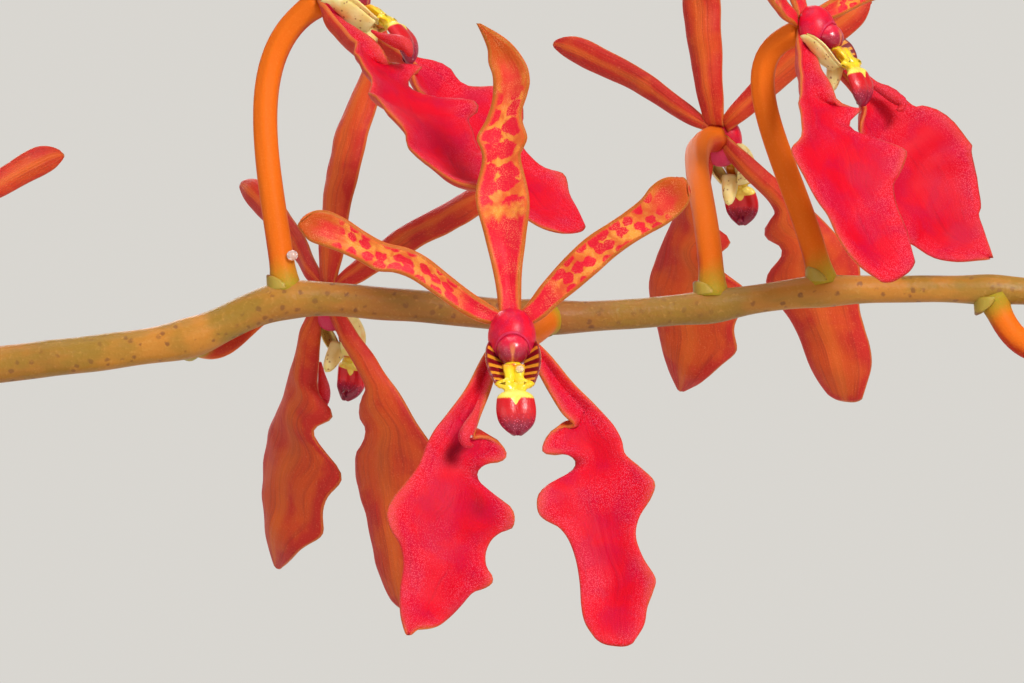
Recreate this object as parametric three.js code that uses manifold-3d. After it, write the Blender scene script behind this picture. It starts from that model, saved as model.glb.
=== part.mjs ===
// A potted Renanthera philippinensis in flower: an orchid with one upright leafy stem in a clay pot
// of bark, and a branched panicle of sixteen scarlet blooms over the leaves.
// Millimetres, +Z up, origin on the table under the centre of the pot. Blooms face -Y at yaw 0.
import * as THREE from "three";
import { mergeVertices } from "three/addons/utils/BufferGeometryUtils.js";
import Module from "manifold-3d";

const wasm = await Module();
wasm.setup();

// Driving dimensions
const GAP = 0.35;
const UP = new THREE.Vector3(0, 0, 1);
const DEPTH = new THREE.Vector3(0, 1, 0);
const GOLDEN = 0.6180339887;
const WELD = 1e-4;

const POT = {
  height: 100,
  footRadius: 37,
  waistRadius: 49,
  rimRadius: 56,
  rimHeight: 19,
  wall: 5,
  floor: 6,
  lip: 1.5,
  shoulder: [-2, 4],
  sides: 24,
  drainRadius: 4.5,
  drainRing: 20,
  drainSides: 10,
  drains: 4,
};

// Bark: each chip draws its size, its corners, its tilts in degrees and its height from these ranges
const BARK = {
  top: 85,
  chips: 22,
  chip: [27, 18, 10],
  spread: 42,
  sizes: [0.75, 1.25],
  corners: [0.72, 1],
  rolls: [-12, 12],
  pitches: [-15, 15],
  heights: [84, 87],
};

const STEM = {
  route: [[-2, 1, 60], [-1, 1, 100], [-3, 1, 150], [-2, 0, 200], [-4, 0, 243]],
  radius: 5.6,
  tipRadius: 3.2,
  sheath: 0.9,
  sides: 8,
};

const LEAVES = {
  count: 11,
  firstZ: 106,
  lastZ: 234,
  plane: -25,
  length: 88,
  youngLength: 56,
  width: 18,
  footWidth: 9,
  tipWidth: 11,
  widens: 0.3,
  thickness: 2.4,
  rises: [44, 66],
  droops: [-14, 12],
  sway: 10,
  turn: 14,
  rows: 6,
  keels: [2.6, 1.0],
  notch: 3.2,
};

// Aerial roots: three dive into the bark and the third hangs over the rim
const ROOT = { radius: 2.1, tipRadius: 1.5, sides: 5, steps: 9 };
const ROOT_ROUTES = [
  [[2, -3, 99], [13, -12, 100], [24, -19, 96], [29, -23, 87], [30, -24, 76]],
  [[-5, 4, 101], [-16, 13, 102], [-25, 19, 97], [-29, 22, 88], [-29, 22, 76]],
  [
    [-4, -4, 98], [-15, -13, 106], [-29, -25, 111.5], [-40, -35, 109], [-46, -40, 98],
    [-47, -41, 80], [-46.5, -41, 60],
  ],
  [[2, 5, 100], [11, 15, 103], [20, 24, 98], [24, 28, 89], [24, 28, 78]],
];

// Panicle: the axis rises beside the stem and ends in a drooping top, with one branch to each side
const AXIS = {
  route: [
    [-9.2, -4.8, 166], [-16, -13, 182], [-20, -17, 210], [-20, -16, 250], [-17, -10, 290],
    [-14, -4, 318], [-15, 2, 345], [-22, 9, 372], [-35, 16, 396], [-52, 22, 411],
  ],
  radii: [2.9, 1.1],
  steps: 26,
};
const BRANCH_A = {
  route: [
    [-14.2, -3.6, 320.5], [-10.3, -2, 325.2], [-0.7, 0, 327.6], [11.8, 0, 329.2], [18.4, 0, 330.3],
    [25.3, 0, 333], [33.8, 0, 332.7], [44.6, 0, 331.8], [55.1, 0, 332.4], [64.8, 0, 333.7],
    [77.1, 0, 333.8], [88, 0.5, 333.4], [99, 1, 335],
  ],
  radii: [1.5, 0.85],
  steps: 22,
};
const BRANCH_B = {
  route: [
    [-16.4, -8.6, 297], [-24, -12.6, 304.5], [-40, -19.5, 309], [-58, -27, 310.5], [-78, -35, 310],
    [-94, -40.5, 313],
  ],
  radii: [1.5, 0.9],
  steps: 12,
};
const AXIS_SIDES = 6;
const BRACT = { height: 1.4, radius: 1.0, lean: 1.2, sides: 4 };

// Buds: each carries on from the end of an axis, with its own thin stalk
const BUD_SPRAYS = {
  buds_right: {
    tip: [[99.9, 1.05, 335.2], [108, 1.5, 337.5], [116, 2, 341.5]],
    buds: [
      { at: 0.12, to: [103, 9, 345], length: 11, radius: 2.7 },
      { at: 0.42, to: [110.5, -6, 345.5], length: 9, radius: 2.3 },
      { at: 0.7, to: [114, 7.5, 349], length: 7, radius: 1.9 },
      { at: 0.98, to: [121, 2, 345.5], length: 5.5, radius: 1.5 },
    ],
  },
  buds_left: {
    tip: [[-95, -40.8, 313.2], [-103, -43, 317], [-110, -45, 322]],
    buds: [
      { at: 0.12, to: [-97, -34, 323], length: 11, radius: 2.7 },
      { at: 0.42, to: [-104, -51, 324], length: 9, radius: 2.3 },
      { at: 0.7, to: [-108.5, -39.5, 329], length: 7, radius: 1.9 },
      { at: 0.98, to: [-115, -46, 326.5], length: 5.5, radius: 1.5 },
    ],
  },
  buds_top: {
    tip: [[-52.9, 22.3, 411.6], [-62, 25, 416], [-71, 27, 418]],
    buds: [
      { at: 0.12, to: [-58.5, 18, 423], length: 11, radius: 2.7 },
      { at: 0.42, to: [-62.5, 33.5, 421], length: 9, radius: 2.3 },
      { at: 0.7, to: [-70, 20, 422.5], length: 7, radius: 1.9 },
      { at: 0.98, to: [-76.5, 28, 420], length: 5.5, radius: 1.5 },
    ],
  },
};
const BUD = {
  tipRadius: 0.6,
  stalk: 0.7,
  belly: 0.8,
  sag: 0.12,
  sides: 5,
  steps: 6,
  axisRadii: [0.85, 0.5],
  axisSteps: 4,
};

// Tepals in a bloom's own frame: x to the viewer's right, z up, -y to the viewer, origin where they meet.
// A row is the blade's left edge, its right edge, and how far its midline lies behind the chord.
const DORSAL_SEPAL = [
  [[-1.1, 0.2, 1.2], [0.8, 0.2, 1.2], 0.2],
  [[-1.7, 0.7, 6.6], [0.8, 0.7, 6.2], 0.6],
  [[-2.6, 0.5, 9.8], [1.1, 0.5, 9.5], 0.8],
  [[-2.2, 0.9, 12.2], [0.6, 0.9, 12.5], 0.5],
  [[-2.5, 0.3, 13.9], [1.0, 0.3, 14.1], 0.8],
  [[-1.3, 0.9, 16.6], [0.7, 0.9, 16.1], 0.4],
  [[-1.6, 0.2, 18.7], [1.1, 0.0, 17.8], 0.7],
  [[-2.5, -1.3, 21.6], [-2.0, -1.3, 21.4], 0],
];
const LEFT_PETAL = [
  [[-0.8, 0.2, 0.4], [-0.6, 0.2, 1.3], 0.1],
  [[-6.8, -0.9, 3.8], [-6.1, -0.9, 5.3], 0.4],
  [[-12.0, -2.0, 5.8], [-11.5, -2.0, 7.9], 0.5],
  [[-13.8, -2.4, 6.4], [-13.5, -2.4, 8.6], 0.4],
  [[-14.9, -2.8, 7.2], [-14.8, -2.8, 8.1], 0],
];
const RIGHT_PETAL = [
  [[0.7, 0.2, 1.5], [1.1, 0.2, 0.5], 0.1],
  [[4.5, -0.9, 6.0], [5.8, -0.9, 4.1], 0.4],
  [[8.9, -1.8, 9.2], [10.2, -1.8, 7.5], 0.5],
  [[10.4, -2.2, 10.8], [12.0, -2.2, 8.8], 0.4],
  [[11.7, -2.6, 11.1], [12.4, -2.6, 10.1], 0],
];
const LEFT_SEPAL = [
  [[-1.1, 0.3, 0.1], [-0.3, 0.3, -1.0], 0.2],
  [[-2.6, -0.5, -3.5], [-1.4, -0.8, -3.6], 0.5],
  [[-4.6, -1.6, -5.9], [-2.2, -2.4, -5.8], 0.8],
  [[-6.4, -2.8, -8.7], [-0.4, -4.2, -8.3], 0.3],
  [[-7.0, -3.6, -9.8], [-1.7, -3.2, -9.5], -0.4],
  [[-8.4, -5.2, -12.3], [0.1, -5.8, -12.5], 0.5],
  [[-7.4, -5.2, -15.0], [-1.7, -5.2, -14.8], -0.5],
  [[-7.4, -6.6, -16.7], [-1.3, -7.0, -16.5], 0.2],
  [[-7.1, -8.2, -20.1], [-6.6, -8.2, -20.0], 0],
];
const RIGHT_SEPAL = [
  [[0.5, 0.3, -1.0], [1.3, 0.3, 0.1], 0.2],
  [[2.6, -0.8, -3.1], [3.4, -0.5, -2.5], 0.5],
  [[3.8, -2.1, -5.7], [6.1, -1.5, -5.0], 0.8],
  [[2.1, -4.0, -7.8], [7.7, -2.8, -7.9], 0.3],
  [[3.6, -2.9, -8.7], [8.5, -3.4, -8.8], -0.4],
  [[1.9, -5.4, -11.2], [9.8, -5.0, -10.6], 0.3],
  [[3.4, -5.2, -13.2], [8.5, -5.0, -13.3], -0.4],
  [[4.5, -6.0, -15.9], [9.7, -7.2, -16.7], -0.3],
  [[4.8, -7.4, -19.5], [9.0, -7.6, -19.4], -0.3],
  [[5.8, -8.0, -21.1], [8.1, -8.0, -21.2], 0],
];
const TEPAL_THICKNESS = 0.9;
// How far a bloom without a ruffle draws each row of a tepal towards the mean of its neighbours
const EASE = 0.6;

// The column leans forward over the lip and ends in its round cap: a point and a radius for each ring
const COLUMN = [
  [[0, 1.2, 0.3], 1.2],
  [[0.1, -1.5, 0.0], 1.75],
  [[0.15, -2.7, -0.45], 1.5],
  [[0.2, -3.6, -0.8], 1.0],
  [[0.2, -4.1, -1.0], 0.45],
];
const COLUMN_SIDES = 6;

// The lip: a cup with a lobe at each side, a hanging front lobe and a short blunt spur
const LIP_CUP = [
  [[-1.5, -1.2, -1.6], [-1.1, -1.2, -3.1], [0.2, -1.2, -3.6], [1.5, -1.2, -3.1], [1.9, -1.2, -1.6]],
  [[-1.9, -2.1, -1.4], [-1.4, -2.2, -3.2], [0.2, -2.3, -3.9], [1.8, -2.2, -3.2], [2.3, -2.1, -1.4]],
  [[-1.6, -3.1, -1.9], [-1.2, -3.3, -3.3], [0.2, -3.5, -4.0], [1.6, -3.3, -3.3], [2.0, -3.1, -1.9]],
];
const LIP_LOBE = [
  [[-0.5, -2.6, -3.7], [1.2, -2.6, -3.7], 0],
  [[-1.0, -4.1, -4.8], [1.7, -4.1, -4.8], -0.3],
  [[-0.7, -4.1, -6.0], [1.4, -4.1, -6.0], -0.4],
  [[0.0, -3.6, -6.9], [0.5, -3.6, -6.9], 0],
];
const LIP_SPUR = [[[0.2, -2.0, -3.2], 0.9], [[0.2, -1.0, -5.6], 0.45]];
const LIP_THICKNESS = 0.8;
const SPUR_SIDES = 4;

// A stalk runs from its node on the axis to the back of its bloom
const STALK = {
  radius: 0.95,
  neckRadius: 0.8,
  clearance: 0.5,
  leave: 8,
  arrive: 8,
  sunk: 0.9,
  sides: 5,
  steps: 6,
};

// Blooms: the limb and the share of the way along it where the stalk leaves, the direction it leaves in
// and the bloom's centre; then what differs from the usual bloom. Angles are in degrees. ruffle 1 keeps
// the sepals' full lobes; breadth widens the two lower sepals and turn turns them about their midlines.
const USUAL = {
  yaw: 0, pitch: 0, roll: 0, size: 1, mirror: false, ruffle: 1, breadth: 1, turn: 0, petalDrop: 0,
};
const BLOOMS = [
  {
    limb: BRANCH_A, at: 0.534, leave: [-0.2, -0.95, -0.25], centre: [42, -17, 330.5],
  },
  {
    limb: BRANCH_A, at: 0.369, leave: [-0.1, 0, 1], centre: [28.4, 1.5, 355.3],
    yaw: 70, pitch: 26, roll: 8, size: 1.06, ruffle: 0.9, breadth: 1.15,
    turn: 25,
  },
  {
    limb: BRANCH_A, at: 0.305, leave: [0.35, 0.9, -0.3], centre: [27.9, 17, 333.2],
    yaw: 138, pitch: -10, roll: -8, size: 1.03, mirror: true, ruffle: 0.2,
    breadth: 1.15,
  },
  {
    limb: BRANCH_A, at: 0.637, leave: [0, 0.2, 1], centre: [58, 22, 345.8],
    yaw: 156, pitch: 5, mirror: true, ruffle: 0.2, breadth: 1.1,
  },
  {
    limb: BRANCH_A, at: 0.707, leave: [-0.18, 0, 1], centre: [63.7, -1, 352.8],
    yaw: 54, pitch: 11, roll: -4, size: 0.92, mirror: true, ruffle: 0.2,
    breadth: 1.35, turn: -30, petalDrop: 14,
  },
  {
    limb: BRANCH_A, at: 0.812, leave: [0.3, -0.1, -0.95], centre: [92, -8, 331],
    yaw: 62, size: 0.96, ruffle: 0.8,
  },
  {
    limb: BRANCH_A, at: 0.141, leave: [-0.35, 0.9, 0.2], centre: [-6.6, 20, 336],
    yaw: 192, roll: 4, ruffle: 0.7,
  },
  {
    limb: BRANCH_A, at: 0.922, leave: [0.1, 0.35, 1], centre: [94, 15, 348],
    yaw: 128, pitch: 8, size: 0.94, mirror: true, ruffle: 0.7,
  },
  {
    limb: BRANCH_B, at: 0.26, leave: [0.1, -0.8, 0.5], centre: [-33, -34, 315],
    yaw: -8, pitch: 4, roll: -3, mirror: true,
  },
  {
    limb: BRANCH_B, at: 0.46, leave: [-0.2, 0.8, 0.6], centre: [-54, -6, 320],
    yaw: 172, roll: 3, size: 0.98, ruffle: 0.7,
  },
  {
    limb: BRANCH_B, at: 0.66, leave: [0, -0.75, 0.65], centre: [-67, -47, 321],
    yaw: -22, pitch: 3, size: 0.97, ruffle: 0.9,
  },
  {
    limb: BRANCH_B, at: 0.865, leave: [-0.3, 0.6, 0.7], centre: [-92, -24, 324],
    yaw: -128, pitch: 6, size: 0.95, mirror: true, ruffle: 0.8,
  },
  {
    limb: AXIS, at: 0.725, leave: [-0.6, -0.7, 0.4], centre: [-30, -11, 360],
    yaw: -38, pitch: 4, ruffle: 0.9,
  },
  {
    limb: AXIS, at: 0.805, leave: [0.75, 0.5, 0.4], centre: [-6, 19, 384],
    yaw: 112, pitch: 6, mirror: true, ruffle: 0.8,
  },
  {
    limb: AXIS, at: 0.902, leave: [-0.1, -0.8, 0.55], centre: [-36, -2, 402],
    yaw: -14, pitch: 8, roll: 3, size: 0.98, mirror: true,
  },
  {
    limb: AXIS, at: 0.961, leave: [0.2, 0.85, 0.3], centre: [-47, 36, 413],
    yaw: 190, pitch: 8, size: 0.96, ruffle: 0.8,
  },
].map((bloom) => ({ ...USUAL, ...bloom }));

const COLOURS = {
  clay: { color: 0xb8623f, roughness: 0.9 },
  bark: { color: 0x5b3a26, roughness: 0.95 },
  leaf: { color: 0x4f7a2c, roughness: 0.45 },
  root: { color: 0xb9bda6, roughness: 0.85 },
  axis: { color: 0x9a6b34, roughness: 0.55 },
  tepal: { color: 0xc8102e, roughness: 0.5 },
  lip: { color: 0xe9b824, roughness: 0.45 },
  bud: { color: 0xb83a22, roughness: 0.5 },
};

// Small helpers
const point = ([x, y, z]) => new THREE.Vector3(x, y, z);
const curveOf = (route) =>
  new THREE.CatmullRomCurve3(route.map(point), false, "catmullrom", 0.5);
const mix = (a, b, t) => a + (b - a) * t;
const radians = THREE.MathUtils.degToRad;
// The i-th draw of an even, repeatable spread over 0 to 1, and over a range
const draw = (i) => (i * GOLDEN) % 1;
const drawIn = ([low, high], i) => mix(low, high, draw(i));

// A closed geometry as a solid, turned the right way round where its mapping turned it inside out
function solidOf(geometry) {
  const bare = geometry.index ? geometry.toNonIndexed() : geometry.clone();
  bare.deleteAttribute("normal");
  bare.deleteAttribute("uv");
  const merged = mergeVertices(bare, WELD);
  const vertProperties = merged.attributes.position.array;
  const triVerts = new Uint32Array(merged.index.array);
  const made = new wasm.Manifold(new wasm.Mesh({ numProp: 3, vertProperties, triVerts }));
  if (made.volume() > 0) return made;
  for (let i = 0; i < triVerts.length; i += 3) {
    [triVerts[i + 1], triVerts[i + 2]] = [triVerts[i + 2], triVerts[i + 1]];
  }
  return new wasm.Manifold(new wasm.Mesh({ numProp: 3, vertProperties, triVerts }));
}

// The joined solids as one body: hollows that the joining sealed are filled, and loose scraps dropped
function fuse(solids) {
  const bodies = solids.reduce((whole, solid) => whole.add(solid)).decompose();
  return bodies.reduce((most, body) => (body.volume() > most.volume() ? body : most));
}

function meshOf(name, solid, look) {
  const { vertProperties, numProp, triVerts } = solid.getMesh();
  const positions = new Float32Array((vertProperties.length / numProp) * 3);
  for (let i = 0; i < positions.length / 3; i++) {
    positions.set(vertProperties.subarray(i * numProp, i * numProp + 3), i * 3);
  }
  const geometry = new THREE.BufferGeometry();
  geometry.setAttribute("position", new THREE.BufferAttribute(positions, 3));
  geometry.setIndex(new THREE.BufferAttribute(new Uint32Array(triVerts), 1));
  geometry.computeVertexNormals();
  const mesh = new THREE.Mesh(geometry, new THREE.MeshStandardMaterial({ metalness: 0, ...look }));
  mesh.name = name;
  return mesh;
}

// A round tube along a curve, its radius given by the share of the way along
function tube(curve, steps, sides, radiusAt) {
  const geometry = new THREE.CylinderGeometry(1, 1, 1, sides, steps);
  const frames = curve.computeFrenetFrames(steps, false);
  const place = geometry.getAttribute("position");
  for (let i = 0; i < place.count; i++) {
    const t = place.getY(i) + 0.5;
    const k = Math.round(t * steps);
    const at = curve.getPointAt(k / steps);
    at.addScaledVector(frames.normals[k], place.getX(i) * radiusAt(t));
    at.addScaledVector(frames.binormals[k], place.getZ(i) * radiusAt(t));
    place.setXYZ(i, at.x, at.y, at.z);
  }
  return geometry;
}

// A tube through given rings, each a centre and a radius
function ringedTube(rings, sides) {
  const curve = curveOf(rings.map(([centre]) => centre));
  const steps = rings.length - 1;
  return tube(curve, steps, sides, (t) => rings[Math.round(t * steps)][1]);
}

// A blade through rows of points: full thickness inside, closing to an edge all round
function blade(rows, thickness) {
  const last = rows.length - 1;
  const side = rows[0].length - 1;
  const onRim = (i, j) => i === 0 || i === last || j === 0 || j === side;
  const points = [];
  const front = rows.map((row) => row.map(() => 0));
  const back = rows.map((row) => row.map(() => 0));
  rows.forEach((row, i) => row.forEach((p, j) => {
    const along = rows[Math.min(i + 1, last)][j].clone().sub(rows[Math.max(i - 1, 0)][j]);
    const across = row[Math.min(j + 1, side)].clone().sub(row[Math.max(j - 1, 0)]);
    const normal = along.cross(across).normalize().multiplyScalar(thickness / 2);
    front[i][j] = points.push(onRim(i, j) ? p.clone() : p.clone().add(normal)) - 1;
    back[i][j] = onRim(i, j) ? front[i][j] : points.push(p.clone().sub(normal)) - 1;
  }));
  const index = [];
  for (let i = 0; i < last; i++) {
    for (let j = 0; j < side; j++) {
      for (const [face, turned] of [[front, false], [back, true]]) {
        const [a, b, c, d] = [face[i][j], face[i][j + 1], face[i + 1][j + 1], face[i + 1][j]];
        const crossed = onRim(i, j) && onRim(i + 1, j + 1);
        const pair = crossed ? [[a, b, d], [b, c, d]] : [[a, b, c], [a, c, d]];
        pair.forEach(([p, q, r]) => index.push(...(turned ? [p, r, q] : [p, q, r])));
      }
    }
  }
  return new THREE.BufferGeometry().setFromPoints(points).setIndex(index);
}

// A tepal's rows as left edge, midline and right edge
const tepalRows = (outline) => outline.map(([left, right, keel]) => {
  const middle = point(left).add(point(right)).multiplyScalar(0.5);
  middle.y += keel;
  return [point(left), middle, point(right)];
});

// Eases the lobes of an outline: each row moves towards the mean of its neighbours
function calm(rows, ruffle) {
  return rows.map((row, i) => row.map((p, j) => {
    if (i === 0 || i === rows.length - 1) return p.clone();
    const mean = rows[i - 1][j].clone().add(rows[i + 1][j]).multiplyScalar(0.5);
    return p.clone().lerp(mean, (1 - ruffle) * EASE);
  }));
}

// A lower sepal widened and turned about its midline, more and more up to halfway along it
function turned(rows, { breadth, turn }) {
  const last = rows.length - 1;
  return rows.map((row, i) => {
    const share = Math.min(1, (2 * i) / last);
    const middle = row[1];
    const along = rows[Math.min(i + 1, last)][1].clone().sub(rows[Math.max(i - 1, 0)][1]).normalize();
    return row.map((p) => p.clone().sub(middle).multiplyScalar(mix(1, breadth, share))
      .applyAxisAngle(along, radians(turn * share)).add(middle));
  });
}

// A petal swung down about the point where the tepals meet
function swung(rows, { petalDrop }) {
  const side = Math.sign(rows.at(-1)[1].x);
  return rows.map((row) => row.map((p) => p.clone().applyAxisAngle(DEPTH, radians(petalDrop) * side)));
}

const TEPALS = [
  { outline: DORSAL_SEPAL, held: (rows) => rows },
  { outline: LEFT_PETAL, held: swung },
  { outline: RIGHT_PETAL, held: swung },
  { outline: LEFT_SEPAL, held: turned },
  { outline: RIGHT_SEPAL, held: turned },
];

function bloomFrame({ centre, yaw, pitch, roll, size, mirror }) {
  const turn = new THREE.Euler(radians(-pitch), radians(roll), radians(yaw), "ZXY");
  return new THREE.Matrix4().compose(
    point(centre),
    new THREE.Quaternion().setFromEuler(turn),
    new THREE.Vector3(mirror ? -size : size, size, size),
  );
}

// Where a bloom's stalk leaves its limb: the point, the limb's heading and radius there
function nodeOf({ limb, at }) {
  const curve = curveOf(limb.route);
  const radius = mix(limb.radii[0], limb.radii[1], at);
  return { place: curve.getPointAt(at), heading: curve.getTangentAt(at), radius };
}

// The stalk leaves its node, bends round and runs into the back of the bloom
function stalkCurve(bloom, frame) {
  const { place, radius } = nodeOf(bloom);
  const away = point(bloom.leave).normalize();
  const backward = DEPTH.clone().transformDirection(frame);
  const start = place.addScaledVector(away, radius + STALK.clearance);
  const end = point(bloom.centre).addScaledVector(backward, STALK.sunk);
  return new THREE.CubicBezierCurve3(
    start,
    start.clone().addScaledVector(away, STALK.leave),
    end.clone().addScaledVector(backward, STALK.arrive),
    end,
  );
}

function bloomNodes(bloom, number) {
  const frame = bloomFrame(bloom);
  const placed = (geometry) => solidOf(geometry.applyMatrix4(frame));
  const tepals = TEPALS.map(({ outline, held }) =>
    placed(blade(held(calm(tepalRows(outline), bloom.ruffle), bloom), TEPAL_THICKNESS)));
  const column = placed(ringedTube(COLUMN, COLUMN_SIDES));
  const stalk = solidOf(tube(stalkCurve(bloom, frame), STALK.steps, STALK.sides,
    (t) => mix(STALK.radius, STALK.neckRadius, t)));
  const cup = placed(blade(LIP_CUP.map((row) => row.map(point)), LIP_THICKNESS));
  const lobe = placed(blade(tepalRows(LIP_LOBE), LIP_THICKNESS));
  const spur = placed(ringedTube(LIP_SPUR, SPUR_SIDES));
  const label = String(number).padStart(2, "0");
  return [
    meshOf(`bloom_${label}`, fuse([column, stalk, ...tepals]), COLOURS.tepal),
    meshOf(`lip_${label}`, fuse([cup, lobe, spur]), COLOURS.lip),
  ];
}

// A small pointed scale on the basal side of a bloom's node
function bract(bloom) {
  const { place, heading, radius } = nodeOf(bloom);
  const length = radius + BRACT.height;
  const direction = point(bloom.leave).normalize().addScaledVector(heading, -BRACT.lean).normalize();
  const cone = new THREE.ConeGeometry(BRACT.radius, length, BRACT.sides);
  cone.rotateX(Math.PI / 2).translate(0, 0, length / 2);
  cone.applyQuaternion(new THREE.Quaternion().setFromUnitVectors(UP, direction));
  return solidOf(cone.translate(place.x, place.y, place.z));
}

function panicleAxis() {
  const limbs = [AXIS, BRANCH_A, BRANCH_B].map(({ route, radii, steps }) =>
    solidOf(tube(curveOf(route), steps, AXIS_SIDES, (t) => mix(radii[0], radii[1], t))));
  return meshOf("panicle_axis", fuse([...limbs, ...BLOOMS.map(bract)]), COLOURS.axis);
}

function budSpray(name, { tip, buds }) {
  const axis = curveOf(tip);
  const [thick, thin] = BUD.axisRadii;
  const pieces = [solidOf(tube(axis, BUD.axisSteps, BUD.sides, (t) => mix(thick, thin, t)))];
  for (const { at, to, length, radius } of buds) {
    const base = axis.getPointAt(at);
    const end = point(to);
    const bend = base.clone().lerp(end, 0.5).addScaledVector(UP, -length * BUD.sag);
    const way = new THREE.QuadraticBezierCurve3(base, bend, end);
    const stalkShare = 1 - length / way.getLength();
    const width = (t) => {
      const into = (t - stalkShare) / (1 - stalkShare);
      const swell = into > 0 ? Math.sin(Math.PI * into ** BUD.belly) : 0;
      return mix(t < 1 ? BUD.stalk : BUD.tipRadius, radius, swell);
    };
    pieces.push(solidOf(tube(way, BUD.steps, BUD.sides, width)));
  }
  return meshOf(name, fuse(pieces), COLOURS.bud);
}

// One strap leaf, bent over in an arc, folded along its keel and notched at the tip
function leafRows(i) {
  const share = i / (LEAVES.count - 1);
  const length = mix(LEAVES.length, LEAVES.youngLength, share ** 2);
  const rise = mix(...LEAVES.rises, share);
  const droop = mix(...LEAVES.droops, share) + LEAVES.sway * (draw(i + 1) - 0.5);
  const last = LEAVES.rows - 1;
  const rows = [];
  const at = new THREE.Vector3();
  for (let k = 0; k <= last; k++) {
    const t = k / last;
    const angle = radians(mix(rise, droop, t));
    const heading = new THREE.Vector3(Math.cos(angle), 0, Math.sin(angle));
    if (k > 0) at.addScaledVector(heading, length / last);
    const full = mix(LEAVES.footWidth, LEAVES.width, Math.min(1, t / LEAVES.widens));
    const half = (k === last ? LEAVES.tipWidth : full) / 2;
    const upward = new THREE.Vector3(-heading.z, 0, heading.x);
    const edge = (y) => at.clone().addScaledVector(upward, mix(...LEAVES.keels, t)).setY(y);
    const middle = at.clone().addScaledVector(heading, k === last ? -LEAVES.notch : 0);
    rows.push([edge(-half), middle, edge(half)]);
  }
  return rows;
}

const stemCurve = curveOf(STEM.route);
const stemRadius = (t) => mix(STEM.radius, STEM.tipRadius, t ** 2);

function leafyStem() {
  const steps = LEAVES.count * 2;
  const wavy = (t) => stemRadius(t) + (Math.round(t * steps) % 2 ? STEM.sheath : 0);
  const pieces = [solidOf(tube(stemCurve, steps, STEM.sides, wavy))];
  const [low, high] = [STEM.route[0][2], STEM.route.at(-1)[2]];
  for (let i = 0; i < LEAVES.count; i++) {
    const z = mix(LEAVES.firstZ, LEAVES.lastZ, i / (LEAVES.count - 1));
    const at = stemCurve.getPointAt((z - low) / (high - low));
    const turn = radians(LEAVES.plane + (i % 2 ? 180 : 0) + LEAVES.turn * (draw(i + 3) - 0.5));
    const leaf = blade(leafRows(i), LEAVES.thickness);
    pieces.push(solidOf(leaf.rotateZ(turn).translate(at.x, at.y, at.z)));
  }
  return meshOf("leafy_stem", fuse(pieces), COLOURS.leaf);
}

function rootTube(route, extra) {
  const radiusAt = (t) => mix(ROOT.radius, ROOT.tipRadius, t) + extra;
  return solidOf(tube(curveOf(route), ROOT.steps, ROOT.sides, radiusAt));
}

// The stem with room round it, cut from what it passes through
const stemRoom = () =>
  solidOf(tube(stemCurve, LEAVES.count * 2, STEM.sides, (t) => stemRadius(t) + STEM.sheath + GAP));

const roots = () => ROOT_ROUTES.map((route, i) =>
  meshOf(`root_${i + 1}`, fuse([rootTube(route, 0).subtract(stemRoom())]), COLOURS.root));

// The pot's inner surface from its floor up, each point drawn in by a margin
function potInside(margin) {
  const { height, rimHeight, rimRadius, wall, floor, shoulder } = POT;
  const waist = height - rimHeight;
  return [
    [innerRadius(floor) - margin, floor + margin],
    [innerRadius(waist) - margin, waist + shoulder[0]],
    [rimRadius - wall - margin, waist + shoulder[1]],
  ];
}

const outerRadius = (z) => mix(POT.footRadius, POT.waistRadius, z / (POT.height - POT.rimHeight));
const innerRadius = (z) => outerRadius(z) - POT.wall;

function lathe(profile) {
  const points = profile.map(([r, z]) => new THREE.Vector2(r, z));
  return solidOf(new THREE.LatheGeometry(points, POT.sides).rotateX(Math.PI / 2));
}

function pot() {
  const { height, rimHeight, rimRadius, footRadius, wall, floor, lip } = POT;
  const waist = height - rimHeight;
  const shell = lathe([
    [0, 0], [footRadius - lip, 0], [footRadius, lip], [outerRadius(waist), waist],
    [rimRadius - lip, waist], [rimRadius, waist + lip], [rimRadius, height - lip],
    [rimRadius - lip, height], [rimRadius - wall + lip, height], [rimRadius - wall, height - lip],
    ...potInside(0).reverse(), [0, floor],
  ]);
  const drains = Array.from({ length: POT.drains }, (_, i) => {
    const angle = ((i + 0.5) / POT.drains) * 2 * Math.PI;
    const hole = new THREE.CylinderGeometry(POT.drainRadius, POT.drainRadius, height, POT.drainSides);
    hole.rotateX(Math.PI / 2);
    hole.translate(Math.cos(angle) * POT.drainRing, Math.sin(angle) * POT.drainRing, 0);
    return solidOf(hole);
  });
  return meshOf("pot", drains.reduce((body, hole) => body.subtract(hole), shell), COLOURS.clay);
}

// One bark chip: a box with uneven corners, laid on a spiral over the bark's top
function barkChip(i) {
  const radius = BARK.spread * Math.sqrt((i + 0.5) / BARK.chips);
  const angle = i * 2 * Math.PI * GOLDEN;
  const size = drawIn(BARK.sizes, i + 5);
  const [length, width, height] = BARK.chip;
  const chip = new THREE.BoxGeometry(length * size, width * size, height);
  const place = chip.getAttribute("position");
  for (let k = 0; k < place.count; k++) {
    const corner = (place.getX(k) > 0) + 2 * (place.getY(k) > 0) + 4 * (place.getZ(k) > 0);
    const shrink = drawIn(BARK.corners, corner + i * 3);
    place.setXYZ(k, place.getX(k) * shrink, place.getY(k) * shrink, place.getZ(k));
  }
  chip.rotateX(radians(drawIn(BARK.rolls, i + 2)));
  chip.rotateY(radians(drawIn(BARK.pitches, i * 2 + 1)));
  chip.rotateZ(2 * Math.PI * draw(i * 5 + 2));
  const z = drawIn(BARK.heights, i * 7 + 3);
  return solidOf(chip.translate(Math.cos(angle) * radius, Math.sin(angle) * radius, z));
}

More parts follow.
